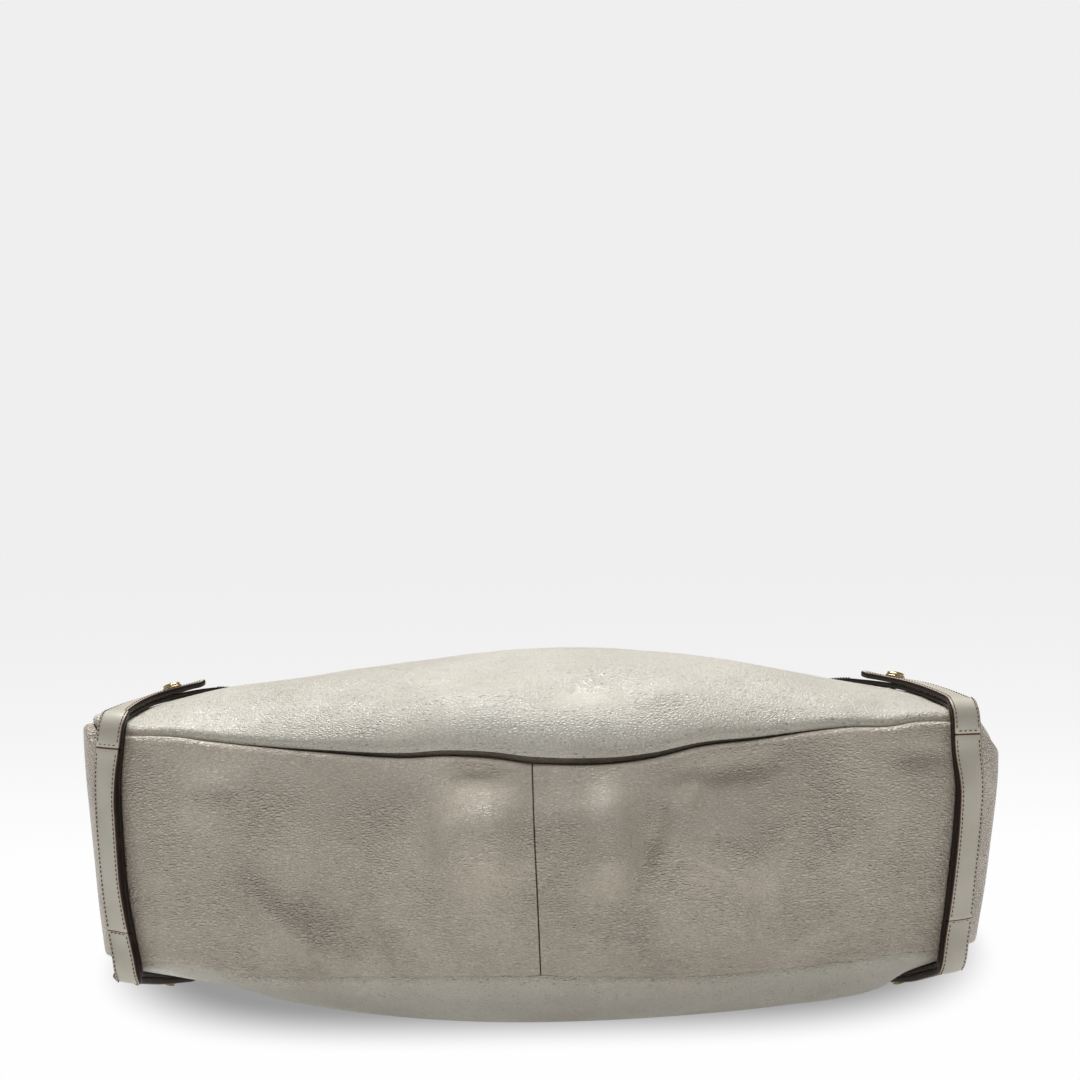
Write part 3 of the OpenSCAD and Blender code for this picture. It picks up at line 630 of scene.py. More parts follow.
def pressed_felt(name, colour, dark):
    """Pressed wool felt, a matt tangle of fibres with no weave."""
    material, tree, place = start_material(name)
    fibres = add(tree, "TexNoise", {"Vector": place, "Scale": every(1.4286), "Detail": 8.0, "Roughness": 0.8})
    clumps = add(tree, "TexNoise", {"Vector": place, "Scale": every(8.3333), "Detail": 3.0})
    height = add(tree, "Math", {0: (clumps, 0), 1: 0.6, 2: (fibres, 0)}, operation="MULTIPLY_ADD")
    bump = add(tree, "Bump", {"Height": height, "Strength": 1.0, "Distance": 0.3 * MM})
    tone = add(tree, "Mix", {0: (fibres, 0), 6: linear(dark), 7: linear(colour)}, **COLOURS)
    close_material(tree, (tone, 2), 0.95, bump, Sheen_Weight=0.35)
    return material


def spun_thread(name, colour, dark):
    """Waxed linen thread of three strands laid up with a twist, which shows as slanting ridges."""
    material, tree, place = start_material(name)
    # A diagonal wave turns at half the rate along the thread, so its scale is doubled.
    twist = {"Vector": place, "Scale": 2 * ribbed(5.712), "Distortion": 1.5}
    strands = add(tree, "TexWave", twist, bands_direction="DIAGONAL")
    bump = add(tree, "Bump", {"Height": (strands, 1), "Strength": 1.0, "Distance": 0.08 * MM})
    tone = add(tree, "Mix", {0: (strands, 1), 6: linear(dark), 7: linear(colour)}, **COLOURS)
    close_material(tree, (tone, 2), 0.55, bump)
    return material


def polished_brass(name, colour, dull, roughness):
    """Cast brass, polished and lacquered, then handled: bright, with fine scratches and a duller,
    warmer bloom in patches."""
    material, tree, place = start_material(name)
    drawn = add(tree, "Mapping", {"Vector": place, "Scale": (1.0, 6.0, 1.0)})
    scratches = add(tree, "TexNoise", {"Vector": drawn, "Scale": every(1.1111), "Detail": 3.0})
    bloom = add(tree, "TexNoise", {"Vector": place, "Scale": every(6.25), "Detail": 4.0})
    bump = add(tree, "Bump", {"Height": (scratches, 0), "Strength": 1.0, "Distance": 0.02 * MM})
    handled = add(tree, "MapRange", {0: (bloom, 0), 1: 0.4, 2: 0.7, 3: 0.0, 4: 1.0}, **SOFT)
    tone = add(tree, "Mix", {0: handled, 6: linear(colour), 7: linear(dull)}, **COLOURS)
    gloss = add(
        tree, "MapRange", {0: (bloom, 0), 1: 0.35, 2: 0.7, 3: roughness, 4: roughness + 0.16}, **SOFT,
    )
    close_material(tree, (tone, 2), gloss, bump, Metallic=1.0)
    return material


BASE_CALF = pebbled_calf("base_calf", "#dfd3c2", "#d3c8b8", relief=0.75)
PANEL_CALF = pebbled_calf("panel_calf", "#e0dbcd", "#d7d1c3", pull=0.62, relief=0.4, pores=0.6)
# The same hide, darkened as painted shade where it lies deep in a seam.
PAINTED_SEAM_SHADE = pebbled_calf("painted_seam_shade", "#6a6052", "#544a3e")
STRAP_CALF = smooth_calf("strap_calf", "#c9c4b5", "#beb8a8")
PAINTED_EDGE = edge_paint("painted_edge", "#1c0e0a", "#3b1d14", 0.42)
TAN_EDGE = edge_paint("tan_edge", "#6d4630", "#8d6548", 0.5)
FLESH = flesh_side("flesh_side", "#b9ab90", "#c9bda4")
BROWN_THREAD = spun_thread("brown_thread", "#7d5e48", "#4f3526")
LINING_TWILL = woven("lining_twill", "#b3a182", "#8b7a5f", 4.3982, 0.6)
POCKET_COTTON = woven("pocket_cotton", "#aa997c", "#84745b", 3.4558, 0.0)
ZIP_WEAVE = woven("zip_weave", "#a89474", "#78684f", 3.1416, 0.78)
WOOL_FELT = pressed_felt("wool_felt", "#d8d5cc", "#a9a498")
BRASS = polished_brass("polished_brass", "#cdb88e", "#94805d", 0.2)
SNAP_BRASS = polished_brass("snap_brass", "#c9ab72", "#a08455", 0.3)

# Slots of a leather piece: its face, its back, its painted edge, and the pale line above the paint.
LEATHER = (STRAP_CALF, FLESH, PAINTED_EDGE, TAN_EDGE)
PAINTED = (0, 1, (3, 2))
ALL_PAINTED = (0, 1, (2,))


# ---- Seams ----

# How far round a turned seam each hide rolls before it meets its neighbour, and its tucked rows.
PANEL_ROLL = 4.0
BAND_ROLL = 3.0
SEAM_TUCKS = (0.0, 1.2, 2.6)
HIDE_T = 1.5
# How many lines of each hide's grid lie in the seam's painted shade, its tucked rows counted.
PANEL_SHADE = len(SEAM_TUCKS) + 2
BAND_SHADE = len(SEAM_TUCKS) + 1
MIDDLE_SHADE = len(SEAM_TUCKS) + 2


def seam_frame(surface, toward, side):
    """Stations along a panel's seam with the gusset: the place, and at each one the way out of the
    panel, the panel's normal, the same two of the gusset, and the way in between them."""
    t = np.linspace(-2, 2, 2401)
    place = seam_of(surface, t)
    along = unit(np.gradient(place, axis=0))
    u, v = np.clip(t, -1, 1), np.clip(np.abs(t) - 1, 0, 1)
    inner = surface(u * 0.985, v + 0.015 * (1 - v)) - place
    panel_out = -unit(inner - dot(inner, along) * along)
    panel_normal = unit(np.cross(along, panel_out))
    panel_normal *= np.sign(panel_normal[:, 2:3]) * side
    inner = band(t, np.full_like(t, mix(toward, 0.5, 0.04))) - place
    band_way = -unit(inner - dot(inner, along) * along)
    band_normal = unit(np.cross(along, band_way))
    band_normal *= np.sign(dot(band_normal, band_out(t)))
    inward = -(panel_normal + band_normal)
    inward = unit(inward - dot(inward, along) * along)
    tree = KDTree(len(place))
    for k, p in enumerate(place):
        tree.insert(p, k)
    tree.balance()
    return {
        "place": place, "tree": tree, "inward": inward,
        "panel": (panel_out, panel_normal), "band": (band_way, band_normal),
    }


def roll_in(points, seam, which, radius, tuck):
    """Rolls the points near a seam round into the bag. tuck carries the edge further in."""
    out, normal = seam[which]
    place, inward = seam["place"], seam["inward"]
    turn = np.arccos(np.clip(dot(out, inward)[:, 0], -0.95, 0.95))
    reach = radius * np.tan(turn / 2)
    longest = reach.max()
    moved = points.copy()
    for n, p in enumerate(points):
        _, k, s = seam["tree"].find(p)
        if s >= longest or s >= reach[k]:
            continue
        theta = turn[k] * (1 - s / reach[k])
        arc = (
            place[k]
            - reach[k] * out[k]
            + radius * (math.sin(theta) * out[k] - (1 - math.cos(theta)) * normal[k])
        )
        flat = place[k] - s * out[k]
        moved[n] = arc + (p - flat) * (s / reach[k]) ** 2 + tuck[n] * inward[k]
    return moved


def with_tucks(inside, low_tucks, high_tucks):
    """Grid lines repeated at their ends, and how far each repeat is tucked into the seam."""
    lines = np.concatenate([
        [inside[0]] * (len(low_tucks) - 1), inside, [inside[-1]] * (len(high_tucks) - 1),
    ])
    tucks = np.zeros(len(lines))
    tucks[:len(low_tucks)] = low_tucks[::-1]
    tucks[len(lines) - len(high_tucks):] = high_tucks
    return lines, tucks


def last_lines(lines, low_count, high_count):
    """Marks the lines that end up in the gap of a seam: so many at either end."""
    place = np.arange(len(lines))
    return (place < low_count) | (place >= len(lines) - high_count)


def finer_at_ends(count, fine, fine_count, low=True, high=True):
    """Lines from 0 to 1, with extra close lines within fine of the chosen ends."""
    lines = list(np.linspace(0, 1, max(int(count * FINENESS), 4)))
    close = [fine * float(ease(k / fine_count)) for k in range(fine_count + 1)]
    if low:
        lines = [x for x in lines if x > fine * 1.02] + close
    if high:
        lines = [x for x in lines if x < 1 - fine * 1.02] + [1 - c for c in close]
    return np.array(sorted(set(round(x, 6) for x in lines)))


def panel_grid(surface, side, seam):
    """A panel's outside, rolled in along its seams."""
    u, u_tuck = with_tucks(finer_at_ends(260, 0.022, 9) * 2 - 1, SEAM_TUCKS, SEAM_TUCKS)
    v, v_tuck = with_tucks(finer_at_ends(210, 0.032, 10, high=False), SEAM_TUCKS, (0.0,))
    vv, uu = np.meshgrid(v, u, indexing="ij")
    tuck = np.maximum(*np.meshgrid(v_tuck, u_tuck, indexing="ij"))
    low, ends = last_lines(v, PANEL_SHADE, 0), last_lines(u, PANEL_SHADE, PANEL_SHADE)
    deep = np.logical_or(*np.meshgrid(low, ends, indexing="ij"))
    points = surface(uu, vv).reshape(-1, 3)
    faces = grid_faces(len(v), len(u), flip=side < 0)
    rolled = roll_in(points, seam, "panel", PANEL_ROLL, tuck.ravel())
    return drop_slivers(rolled, faces, deep.ravel())


# Where the base's middle seam meets the back panel and the front one, along X.
MIDDLE_AT_BACK = -2.4
MIDDLE_AT_FRONT = -4.6
# It is turned more tightly than the others, and draws the hide in a little on either side.
MIDDLE_ROLL = 0.6
MIDDLE_TUCKS = (0.0, 1.0, 2.2)
MIDDLE_DRAW = 0.5
MIDDLE_REACH = 5


def band_half(side):
    """Half of the gusset: from the seam in the middle of the base, round a corner, to the mouth."""
    lines = finer_at_ends(460, 0.003, 6, high=False)
    t, t_tuck = with_tucks(lines * 2, MIDDLE_TUCKS, (0.0,))
    q, q_tuck = with_tucks(finer_at_ends(100, 0.05, 9), SEAM_TUCKS, SEAM_TUCKS)
    tt, qq = np.meshgrid(t * side, q, indexing="ij")
    seam_x = mix(MIDDLE_AT_BACK, MIDDLE_AT_FRONT, qq)
    shift = seam_x / CORNER_X * (1 - np.abs(tt) / 2)
    points = band(tt + shift, qq).reshape(-1, 3)
    faces = grid_faces(len(t), len(q), flip=side < 0)
    normals = point_normals(points, faces)
    if dot(normals, band_out(tt.ravel())).mean() < 0:
        faces, normals = faces[:, ::-1], -normals
    # The repeated lines have no faces of their own yet, so they take the normals beside them.
    normals = normals.reshape(len(t), len(q), 3)
    hidden = len(SEAM_TUCKS) - 1
    normals[:hidden] = normals[hidden]
    normals[:, :hidden] = normals[:, hidden:hidden + 1]
    normals[:, -hidden:] = normals[:, -hidden - 1:-hidden]
    normals = normals.reshape(-1, 3)
    seam_tuck = np.meshgrid(t, q_tuck, indexing="ij")[1].ravel()
    for seam, part in ((FRONT_SEAM, qq.ravel() > 0.5), (BACK_SEAM, qq.ravel() <= 0.5)):
        points[part] = roll_in(points[part], seam, "band", BAND_ROLL, seam_tuck[part])
    on_base = np.abs(tt.ravel()) < 0.2
    from_seam = np.abs(tt.ravel()) * CORNER_X
    near = np.clip(1 - from_seam / MIDDLE_ROLL, 0, 1) * on_base
    depth = MIDDLE_ROLL * (1 - np.sqrt(1 - near**2))
    depth += np.meshgrid(t_tuck, q, indexing="ij")[0].ravel()
    drawn = MIDDLE_DRAW * np.exp(-((from_seam / MIDDLE_REACH) ** 2)) * on_base
    middle, ends = last_lines(t, MIDDLE_SHADE, 0), last_lines(q, BAND_SHADE, BAND_SHADE)
    deep = np.logical_or(*np.meshgrid(middle, ends, indexing="ij"))
    return drop_slivers(points - normals * (depth + drawn)[:, None], faces, deep.ravel())


def thick_hide(name, points, faces, zones, thickness, calf):
    """A hide of even thickness under its outside."""
    made = make_object(name, points, faces, zones)
    solid = made.modifiers.new("thickness", "SOLIDIFY")
    solid.thickness = thickness * MM
    solid.offset = -1
    solid.material_offset = 1
    # Slot 2 is the hide painted darker, as shade deep in the seams.
    give(made, None, (calf, FLESH, PAINTED_SEAM_SHADE, FLESH))
    apply_modifiers(made)
    made.data.shade_smooth()
    return made


FRONT_SEAM = seam_frame(front, 1.0, 1)
BACK_SEAM = seam_frame(back, 0.0, -1)

SHELL = {
    "front_hide": (panel_grid(front, 1, FRONT_SEAM), "front_panel", PANEL_CALF),
    "back_hide": (panel_grid(back, -1, BACK_SEAM), "back_panel", PANEL_CALF),
    "gusset_hide_left": (band_half(-1), "gusset_left", BASE_CALF),
    "gusset_hide_right": (band_half(1), "gusset_right", BASE_CALF),
}
for hide_name, (shape, hide_node, calf) in SHELL.items():
    hide = thick_hide(hide_name, *shape, HIDE_T, calf)
    give(hide, "bag", (), (hide_node,))


# ---- Linings, felt and slip pocket ----

def under(surface, rows, columns, depth, flip):
    """A grid of points at an even depth under a surface of the shell."""
    first, second = np.meshgrid(rows, columns, indexing="ij")
    points = surface(first, second).reshape(-1, 3)
    faces = grid_faces(len(rows), len(columns), flip)
    return points - point_normals(points, faces) * depth, faces


def spread(low, high, count):
    return np.linspace(low, high, max(int(count * FINENESS), 6))


def cloth_sheet(name, grid, thickness, slack, seed, material, node):
    """A cloth sewn in by its edges, with its slack taken up in soft puckers away from the shell."""
    points, faces = grid
    normals = point_normals(points, faces)
    loose = (ripple(points, 46, seed) + ripple(points, 17, seed + 1) * 0.4 + 1.4) / 2.8
    points = points - normals * (slack * loose)[:, None]
    piece = skin(name, points, faces, thickness, (0, 0, (0,)))
    give(piece, "bag", (material,), (node,))
    return piece


LINING_DEPTH = 3.7
LINING_T = 0.8
PANEL_LINES = (spread(0.03, 0.89, 90), spread(-0.95, 0.95, 110))
BAND_LINES = (spread(0.12, 0.88, 24), spread(-1.87, 1.87, 220))
FELT_LINES = (spread(0.14, 0.86, 30), spread(-0.86, 0.86, 140))
POCKET_LINES = (spread(0.45, 0.8, 44), spread(-0.4, 0.4, 60))


def beneath(surface, lines, depth, flip):
    """A cloth's grid under a panel or the gusset, from its lines up the shell and along it."""
    up, along = lines
    return under(surface, along, up, depth, flip)


cloth_sheet(
    "lining_front", beneath(front, PANEL_LINES, LINING_DEPTH, True),
    LINING_T, 1.6, 21, LINING_TWILL, "lining_front",
)
cloth_sheet(
    "lining_back", beneath(back, PANEL_LINES, LINING_DEPTH, False),
    LINING_T, 0.5, 23, LINING_TWILL, "lining_back",
)
cloth_sheet(
    "lining_gusset", beneath(band, BAND_LINES, LINING_DEPTH, True),
    LINING_T, 1.0, 25, LINING_TWILL, "lining_gusset",
)
cloth_sheet(
    "base_felt", beneath(band, FELT_LINES, 2.3, True),
    1.0, 0.0, 27, WOOL_FELT, "base_felt",
)
cloth_sheet(
    "slip_pocket", beneath(front, POCKET_LINES, 6.4, True),
    0.6, 1.2, 29, POCKET_COTTON, "slip_pocket",
)


# ---- Facings, inner pocket and zip ----

FACING_DEPTH = 3.2
FACING_T = 1.3
FACING_ROWS = np.linspace(0.9, 1.0, 14)
for face_name, surface, flip in (("front_facing", front, True), ("back_facing", back, False)):
    points, faces = under(surface, spread(-0.93, 0.93, 110), FACING_ROWS, FACING_DEPTH, flip)
    facing = skin(face_name, points, faces, FACING_T, (1, 0, (3, 2)))
    give(facing, "bag", LEATHER, (face_name,))

pocket_low, pocket_high = (np.array(corner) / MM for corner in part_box("pocket_frame"))
zip_low, zip_high = (np.array(corner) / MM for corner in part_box("pocket_zip_coil"))
ZIP_MIDDLE = (pocket_low + pocket_high) / 2
ZIP_HALF = (zip_high[0] - zip_low[0]) / 2 + 1


def round_corners(half_x, half_y, r, count=160):
    """Points round a rectangle with round corners."""
    a = np.linspace(0, 2 * math.pi, count, endpoint=False)
    power = 0.28
    x = np.sign(np.cos(a)) * np.abs(np.cos(a)) ** power
    y = np.sign(np.sin(a)) * np.abs(np.sin(a)) ** power
    inner_x, inner_y = half_x - r, half_y - r
    side = np.stack([np.cos(a), np.sin(a)], -1)
    core = np.stack([np.clip(x * half_x, -inner_x, inner_x), np.clip(y * half_y, -inner_y, inner_y)], -1)
    return core + side * r


def ring_faces(rows, count, flip=False):
    i, j = np.meshgrid(np.arange(rows - 1), np.arange(count), indexing="ij")
    k = (j + 1) % count
    quads = np.stack([i * count + j, i * count + k, (i + 1) * count + k, (i + 1) * count + j], -1)
    quads = quads.reshape(-1, 4)
    return quads[:, ::-1] if flip else quads


outline_out = round_corners(pocket_high[0] - ZIP_MIDDLE[0], pocket_high[1] - ZIP_MIDDLE[1], 5)
outline_in = round_corners(ZIP_HALF, 4.5, 4.2)
frame_rows = [mix(outline_out, outline_in, k) for k in np.linspace(0, 1, 8)]
frame_points = np.concatenate([
    np.column_stack([row + ZIP_MIDDLE[:2], np.full(len(row), pocket_high[2])]) for row in frame_rows
])
frame_points[:, 2] += 0.12 * np.sin(np.linspace(0, math.pi, 8)).repeat(len(outline_out))
pocket_frame = skin("pocket_frame", frame_points, ring_faces(8, len(outline_out)), 1.1, (0, 1, (3, 2)))
give(pocket_frame, "bag", LEATHER, ("pocket_frame",))


def coil_teeth(side):
    """The moulded coil of one zip tape: a hook of wire every 1.5 mm."""
    parts = []
    pitch = 1.5
    bend = np.linspace(-math.pi * 0.62, math.pi * 0.62, 9)
    wire = [(0.62 * math.cos(a) + 0.18, 0.48 * math.sin(a)) for a in bend]
    for x in np.arange(zip_low[0] + 0.6, zip_high[0] - 0.4, pitch):
        path = np.array([
            (x + side * 0.38, ZIP_MIDDLE[1] + side * (1.05 - reach), zip_low[2] + 0.5 + up)
            for reach, up in wire
        ])
        parts.append(tube(path, 0.26, 6))
    return joined(parts)


def tube(path, radius, sides=10):
    """A round wire along a path, with domed ends."""
    along = unit(np.gradient(path, axis=0))
    first = unit(np.cross(along, [0.31, 0.83, 0.47]))
    second = np.cross(along, first)
    turn = np.linspace(0, 2 * math.pi, sides, endpoint=False)
    girth = np.full(len(path), radius)
    girth[[0, -1]] = radius * 0.3
    rows = (
        path[:, None]
        + (np.cos(turn)[None, :, None] * first[:, None] + np.sin(turn)[None, :, None] * second[:, None])
        * girth[:, None, None]
    )
    return rows.reshape(-1, 3), ring_faces(len(path), sides)


coil = make_object("zip_coil", *joined([coil_teeth(-1), coil_teeth(1)]))
give(coil, "bag", (BRASS,), ("pocket_zip_coil",))
tape_low, tape_high = (np.array(corner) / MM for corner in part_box("pocket_zip_tape"))
tapes = []
for side in (-1, 1):
    xs = np.linspace(tape_low[0], tape_high[0], 90)
    ys = ZIP_MIDDLE[1] + side * np.linspace(0.25, 8.1, 9)
    yy, xx = np.meshgrid(ys, xs, indexing="ij")
    up = tape_high[2] + 0.12 * np.exp(-((np.abs(yy - ZIP_MIDDLE[1]) - 1.6) ** 2))
    points = np.stack([xx, yy, up], -1).reshape(-1, 3)
    tapes.append((points, grid_faces(len(ys), len(xs), flip=side > 0)))
zip_tape = skin("zip_tape", *joined(tapes), 0.45, (0, 0, (0,)))
give(zip_tape, "bag", (ZIP_WEAVE,), ("pocket_zip_tape",))

bag_low, bag_high = (np.array(corner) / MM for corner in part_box("pocket_bag"))
xs, ys = spread(bag_low[0], bag_high[0], 60), spread(bag_low[1], bag_high[1], 40)
yy, xx = np.meshgrid(ys, xs, indexing="ij")
crown = np.sin(np.pi * (xx - bag_low[0]) / (bag_high[0] - bag_low[0])) ** 0.4
crown = crown * np.sin(np.pi * (yy - bag_low[1]) / (bag_high[1] - bag_low[1])) ** 0.4
top = np.stack([xx, yy, bag_low[2] + 0.6 + 0.55 * crown], -1).reshape(-1, 3)
under_side = np.stack([xx, yy, bag_low[2] + 0.55 - 0.5 * crown], -1).reshape(-1, 3)
pocket_faces = grid_faces(len(ys), len(xs))
pocket_bag = make_object("pocket_bag", *joined([(top, pocket_faces), (under_side, pocket_faces[:, ::-1])]))
give(pocket_bag, "bag", (POCKET_COTTON,), ("pocket_bag",))


# ---- Side straps, corner belts and their studs ----

# At each end a strap runs from the mouth down the front, round the base and up the back. A slightly
# wider belt lies on it round the base.
BELT_W = 13.0
BELT_T = 3.1
SIDE_STRAP_T = 2.4
UNDER_STRAP = 0.5
UNDER_BELT = UNDER_STRAP + SIDE_STRAP_T + 0.12
STRAP_SHY = 0.93
# A belt's place on the base, as a share of the way from the middle to the corner, and how far it
# leans in from there up each panel. The front's lean starts a little before the seam.
BELT_MID = {-1: 0.947, 1: 0.930}
BELT_LEAN = {-1: 0.27, 1: 0.35}
BACK_LEAN = {-1: 0.1, 1: 0.28}
FRONT_SHIFT = {-1: 0.055, 1: 0.025}
# How far up a panel a tab ends and its stud is set, and where across the base the belt is joined.
BELT_END_ROW = 0.31
STUD_ROW = 0.235
JOIN_ROWS = (0.92, 0.17)
CORNER_RISE = 0.9
PANEL_ROWS = [0.97, 0.9, 0.82, 0.74, 0.66, 0.58, 0.5, 0.42, 0.36, 0.3, 0.24, 0.18, 0.12, 0.06]
GUSSET_ROWS = [0.85, 0.72, 0.6, 0.48, 0.36, 0.24, 0.13]


def belt_knots(side):
    """The middle line of a belt and the direction across it: from the mouth down the front,
    round the base, and up the back to the mouth."""
    places, across = [], []

    def mark(surface, a, b, rise=(0, 0, 0)):
        here = surface(np.array([a * side]), np.array([b]))[0]
        ahead = surface(np.array([(a + 0.01) * side]), np.array([b]))[0]
        behind = surface(np.array([(a - 0.01) * side]), np.array([b]))[0]
        places.append(here + CORNER_RISE * unit(np.array(rise, float)) if any(rise) else here)
        across.append(unit(ahead - behind))

    middle, shift = BELT_MID[side], FRONT_SHIFT[side]
    for v in PANEL_ROWS:
        mark(front, middle - BELT_LEAN[side] * (v + shift), v)
    mark(front, middle - BELT_LEAN[side] * shift, 0.0, (0.45 * side, -0.7, 0.9))
    for q in GUSSET_ROWS:
        mark(band, middle - 0.3 * BELT_LEAN[side] * shift * (q > 0.8), q)
    mark(back, middle, 0.0, (0.45 * side, -0.7, -0.9))
    for v in reversed(PANEL_ROWS):
        mark(back, middle - BACK_LEAN[side] * v, v)
    return list(enumerate(places)), list(enumerate(across))


class BeltLine:
    """Places on a belt: w counts its knots from the front mouth to the back one, c runs across it
    from the inner edge (-1) to the outer one (1), and height is above the shell."""

    def __init__(self, side):
        self.side = side
        self.middle, self.across = belt_knots(side)
        self.end = len(self.middle) - 1

    def frame(self, w):
        place = through(self.middle, w)
        ahead = through(self.middle, np.clip(w + 0.05, 0, self.end))
        behind = through(self.middle, np.clip(w - 0.05, 0, self.end))
        along = unit(ahead - behind)
        across = unit(through(self.across, w))
        out = unit(np.cross(along, across)) * self.side
        return place, across, out

    def at(self, w, c, height):
        place, across, out = self.frame(w)
        return place + across * np.asarray(c)[..., None] * BELT_W / 2 + out * np.asarray(height)[..., None]


BELTS = {side: BeltLine(side) for side in (-1, 1)}
W_END = BELTS[1].end


def w_of(rows, value, start=0):
    """Where along the belt a row of the shell is crossed."""
    places = np.arange(len(rows)) + start
    return float(np.interp(-value, -np.array(rows), places))


def half_step(w):
    return round(2 * w) / 2


W_TAB = half_step(w_of(PANEL_ROWS, BELT_END_ROW))
W_STUD = w_of(PANEL_ROWS, STUD_ROW)
W_JOIN_FRONT, W_JOIN_BACK = (w_of([1.0] + GUSSET_ROWS, row, len(PANEL_ROWS)) for row in JOIN_ROWS)
JOIN_GAP = 0.02


def belt_lift(side, w):
    """How far a belt's tab stands off at its tip, where the leather has curled."""
    tip = {-1: 2.2, 1: 1.6}[side]
    front_tip = tip * ease((W_TAB + 0.55 - w) / 0.7) + 0.5 * ease((W_TAB + 1.6 - w) / 1.4)
    back_tip = 0.5 * ease((w - (W_END - W_TAB - 0.7)) / 0.8)
    return front_tip + back_tip


def strap_sink(w):
    """Past a belt's tabs the side strap is pressed down into the hide."""
    return -1.1 * (ease(W_TAB - 0.2 - w) + ease(w - (W_END - W_TAB) - 0.2))


def belt_sheet(
    name, side, low, high, bottom, thickness, lift, edges, round_low=0.0, round_high=0.0, share=1.0,
):
    """A length of belt from w low to high. Its ends are rounded off over round_low and round_high,
    and share is its width as a share of the belt's."""
    line = BELTS[side]
    w = np.unique(np.concatenate([
        np.linspace(low, high, max(int((high - low) * 7 * FINENESS), 12)),
        low + round_low * ease(np.linspace(0, 1, 12)) if round_low else [low],
        high - round_high * ease(np.linspace(0, 1, 12)) if round_high else [high],
    ]))
    c = np.array([-1, -0.9, -0.75, -0.5, -0.2, 0.2, 0.5, 0.75, 0.9, 1])
    ww, cc = np.meshgrid(w, c, indexing="ij")
    narrowed = np.full_like(ww, share)
    if round_low:
        narrowed *= np.sqrt(np.maximum(1 - np.clip(1 - (ww - low) / round_low, 0, 1) ** 2.4, 0.04))
    if round_high:
        narrowed *= np.sqrt(np.maximum(1 - np.clip(1 - (high - ww) / round_high, 0, 1) ** 2.4, 0.04))
    crown = 0.22 * (1 - np.abs(cc) ** 4)
    worn = ripple(np.stack([ww * 9, cc * 6, cc * 0], -1), 26, 40 + side) * 0.22
    height = bottom + thickness - 0.22 + crown + (lift(ww) if lift else 0) + worn * (1 - np.abs(cc) ** 3)
    points = line.at(ww, cc * narrowed, height).reshape(-1, 3)
    faces = grid_faces(len(w), len(c), flip=side > 0)
    return skin(name, points, faces, thickness - 0.2, edges)


def belt_stitches(side, low, high, top, lift, ends=(), inset=0.87):
    """Rows of stitches along both edges of a belt piece, and across it at the given w."""
    line = BELTS[side]
    rows = []
    for c in (-inset, inset):
        w = np.linspace(low, high, int((high - low) * 14))
        _, _, out = line.frame(w)
        rows.append((line.at(w, np.full_like(w, c), top + (lift(w) if lift else 0)), out))
    for w_end in ends:
        c = np.linspace(-0.8, 0.8, 24)
        w = np.full_like(c, w_end)
        _, _, out = line.frame(w)
        rows.append((line.at(w, c, top + (lift(w) if lift else 0)), out))
    return [stitch_row(path, out) for path, out in rows]


SIDES = {-1: "left", 1: "right"}
belt_threads = []
for side, word in SIDES.items():
    def lift(w, side=side):
        return belt_lift(side, w)

    strap_name = "side_strap_" + word
    side_strap = belt_sheet(
        strap_name, side, 0, W_END, UNDER_STRAP, SIDE_STRAP_T, strap_sink, ALL_PAINTED, share=STRAP_SHY,
    )
    give(side_strap, "bag", LEATHER, (strap_name,))
    lengths = {
        "belt_front_": (W_TAB, W_JOIN_FRONT - JOIN_GAP, 0.55, 0.0),
        "belt_base_": (W_JOIN_FRONT + JOIN_GAP, W_JOIN_BACK - JOIN_GAP, 0.0, 0.0),
        "belt_back_": (W_JOIN_BACK + JOIN_GAP, W_END - W_TAB, 0.0, 0.55),
    }
    for prefix, (low, high, round_low, round_high) in lengths.items():
        piece = belt_sheet(
            prefix + word, side, low, high, UNDER_BELT, BELT_T, lift, PAINTED, round_low, round_high,
        )
        give(piece, "bag", LEATHER, (prefix + word,))
    top = UNDER_BELT + BELT_T + 0.02
    belt_threads += belt_stitches(side, W_TAB + 0.35, W_JOIN_FRONT - 0.12, top, lift, (W_JOIN_FRONT - 0.07,))
    belt_threads += belt_stitches(side, W_JOIN_FRONT + 0.12, W_JOIN_BACK - 0.12, top, lift)
    belt_threads += belt_stitches(
        side, W_JOIN_BACK + 0.12, W_END - W_TAB - 0.35, top, lift, (W_JOIN_BACK + 0.07,),
    )
    under_top = UNDER_STRAP + SIDE_STRAP_T
    belt_threads += belt_stitches(side, 0.3, W_TAB - 0.2, under_top, strap_sink)
    belt_threads += belt_stitches(side, W_END - W_TAB + 0.2, W_END - 0.3, under_top, strap_sink)
threads = make_object("belt_stitches", *joined(belt_threads))
give(threads, "bag", (BROWN_THREAD,))

STUD_R = 5.0
STUD_POST_R = 1.6
STUD_HEAD = [
    (0.05, 0), (STUD_R - 0.4, 0), (STUD_R, 0.4), (STUD_R, 0.8), (STUD_R - 0.7, 1.2), (STUD_R - 0.8, 1.5),
    (STUD_R - 0.4, 1.9), (STUD_R - 1.4, 2.6), (1.6, 2.9), (0.05, 3.0),
]
WASHER = [(STUD_POST_R, 0), (4.0, 0), (4.0, 0.8), (STUD_POST_R, 0.8), (STUD_POST_R, 0)]
heads, washers = [], []
for side in SIDES:
    for w in (W_STUD, W_END - W_STUD):
        w_here = np.array([w])
        raised = UNDER_BELT + BELT_T + 0.05 + belt_lift(side, w_here)
        place = BELTS[side].at(w_here, np.zeros(1), raised)[0]
        out = BELTS[side].frame(w_here)[2][0]
        heads.append(lathe(softened(STUD_HEAD), place, out))
        post = [(STUD_POST_R, -float(raised[0]) - HIDE_T - 1.6), (STUD_POST_R, 0.3)]
        heads.append(lathe(post, place, out, 24))
        inside = place - out * (float(raised[0]) + HIDE_T + 1.7)
        washers.append(lathe(WASHER, inside, out))
stud_heads = make_object("stud_heads", *joined(heads))
give(stud_heads, "bag", (BRASS,), ("stud_heads",))
stud_washers = make_object("stud_washers", *joined(washers))
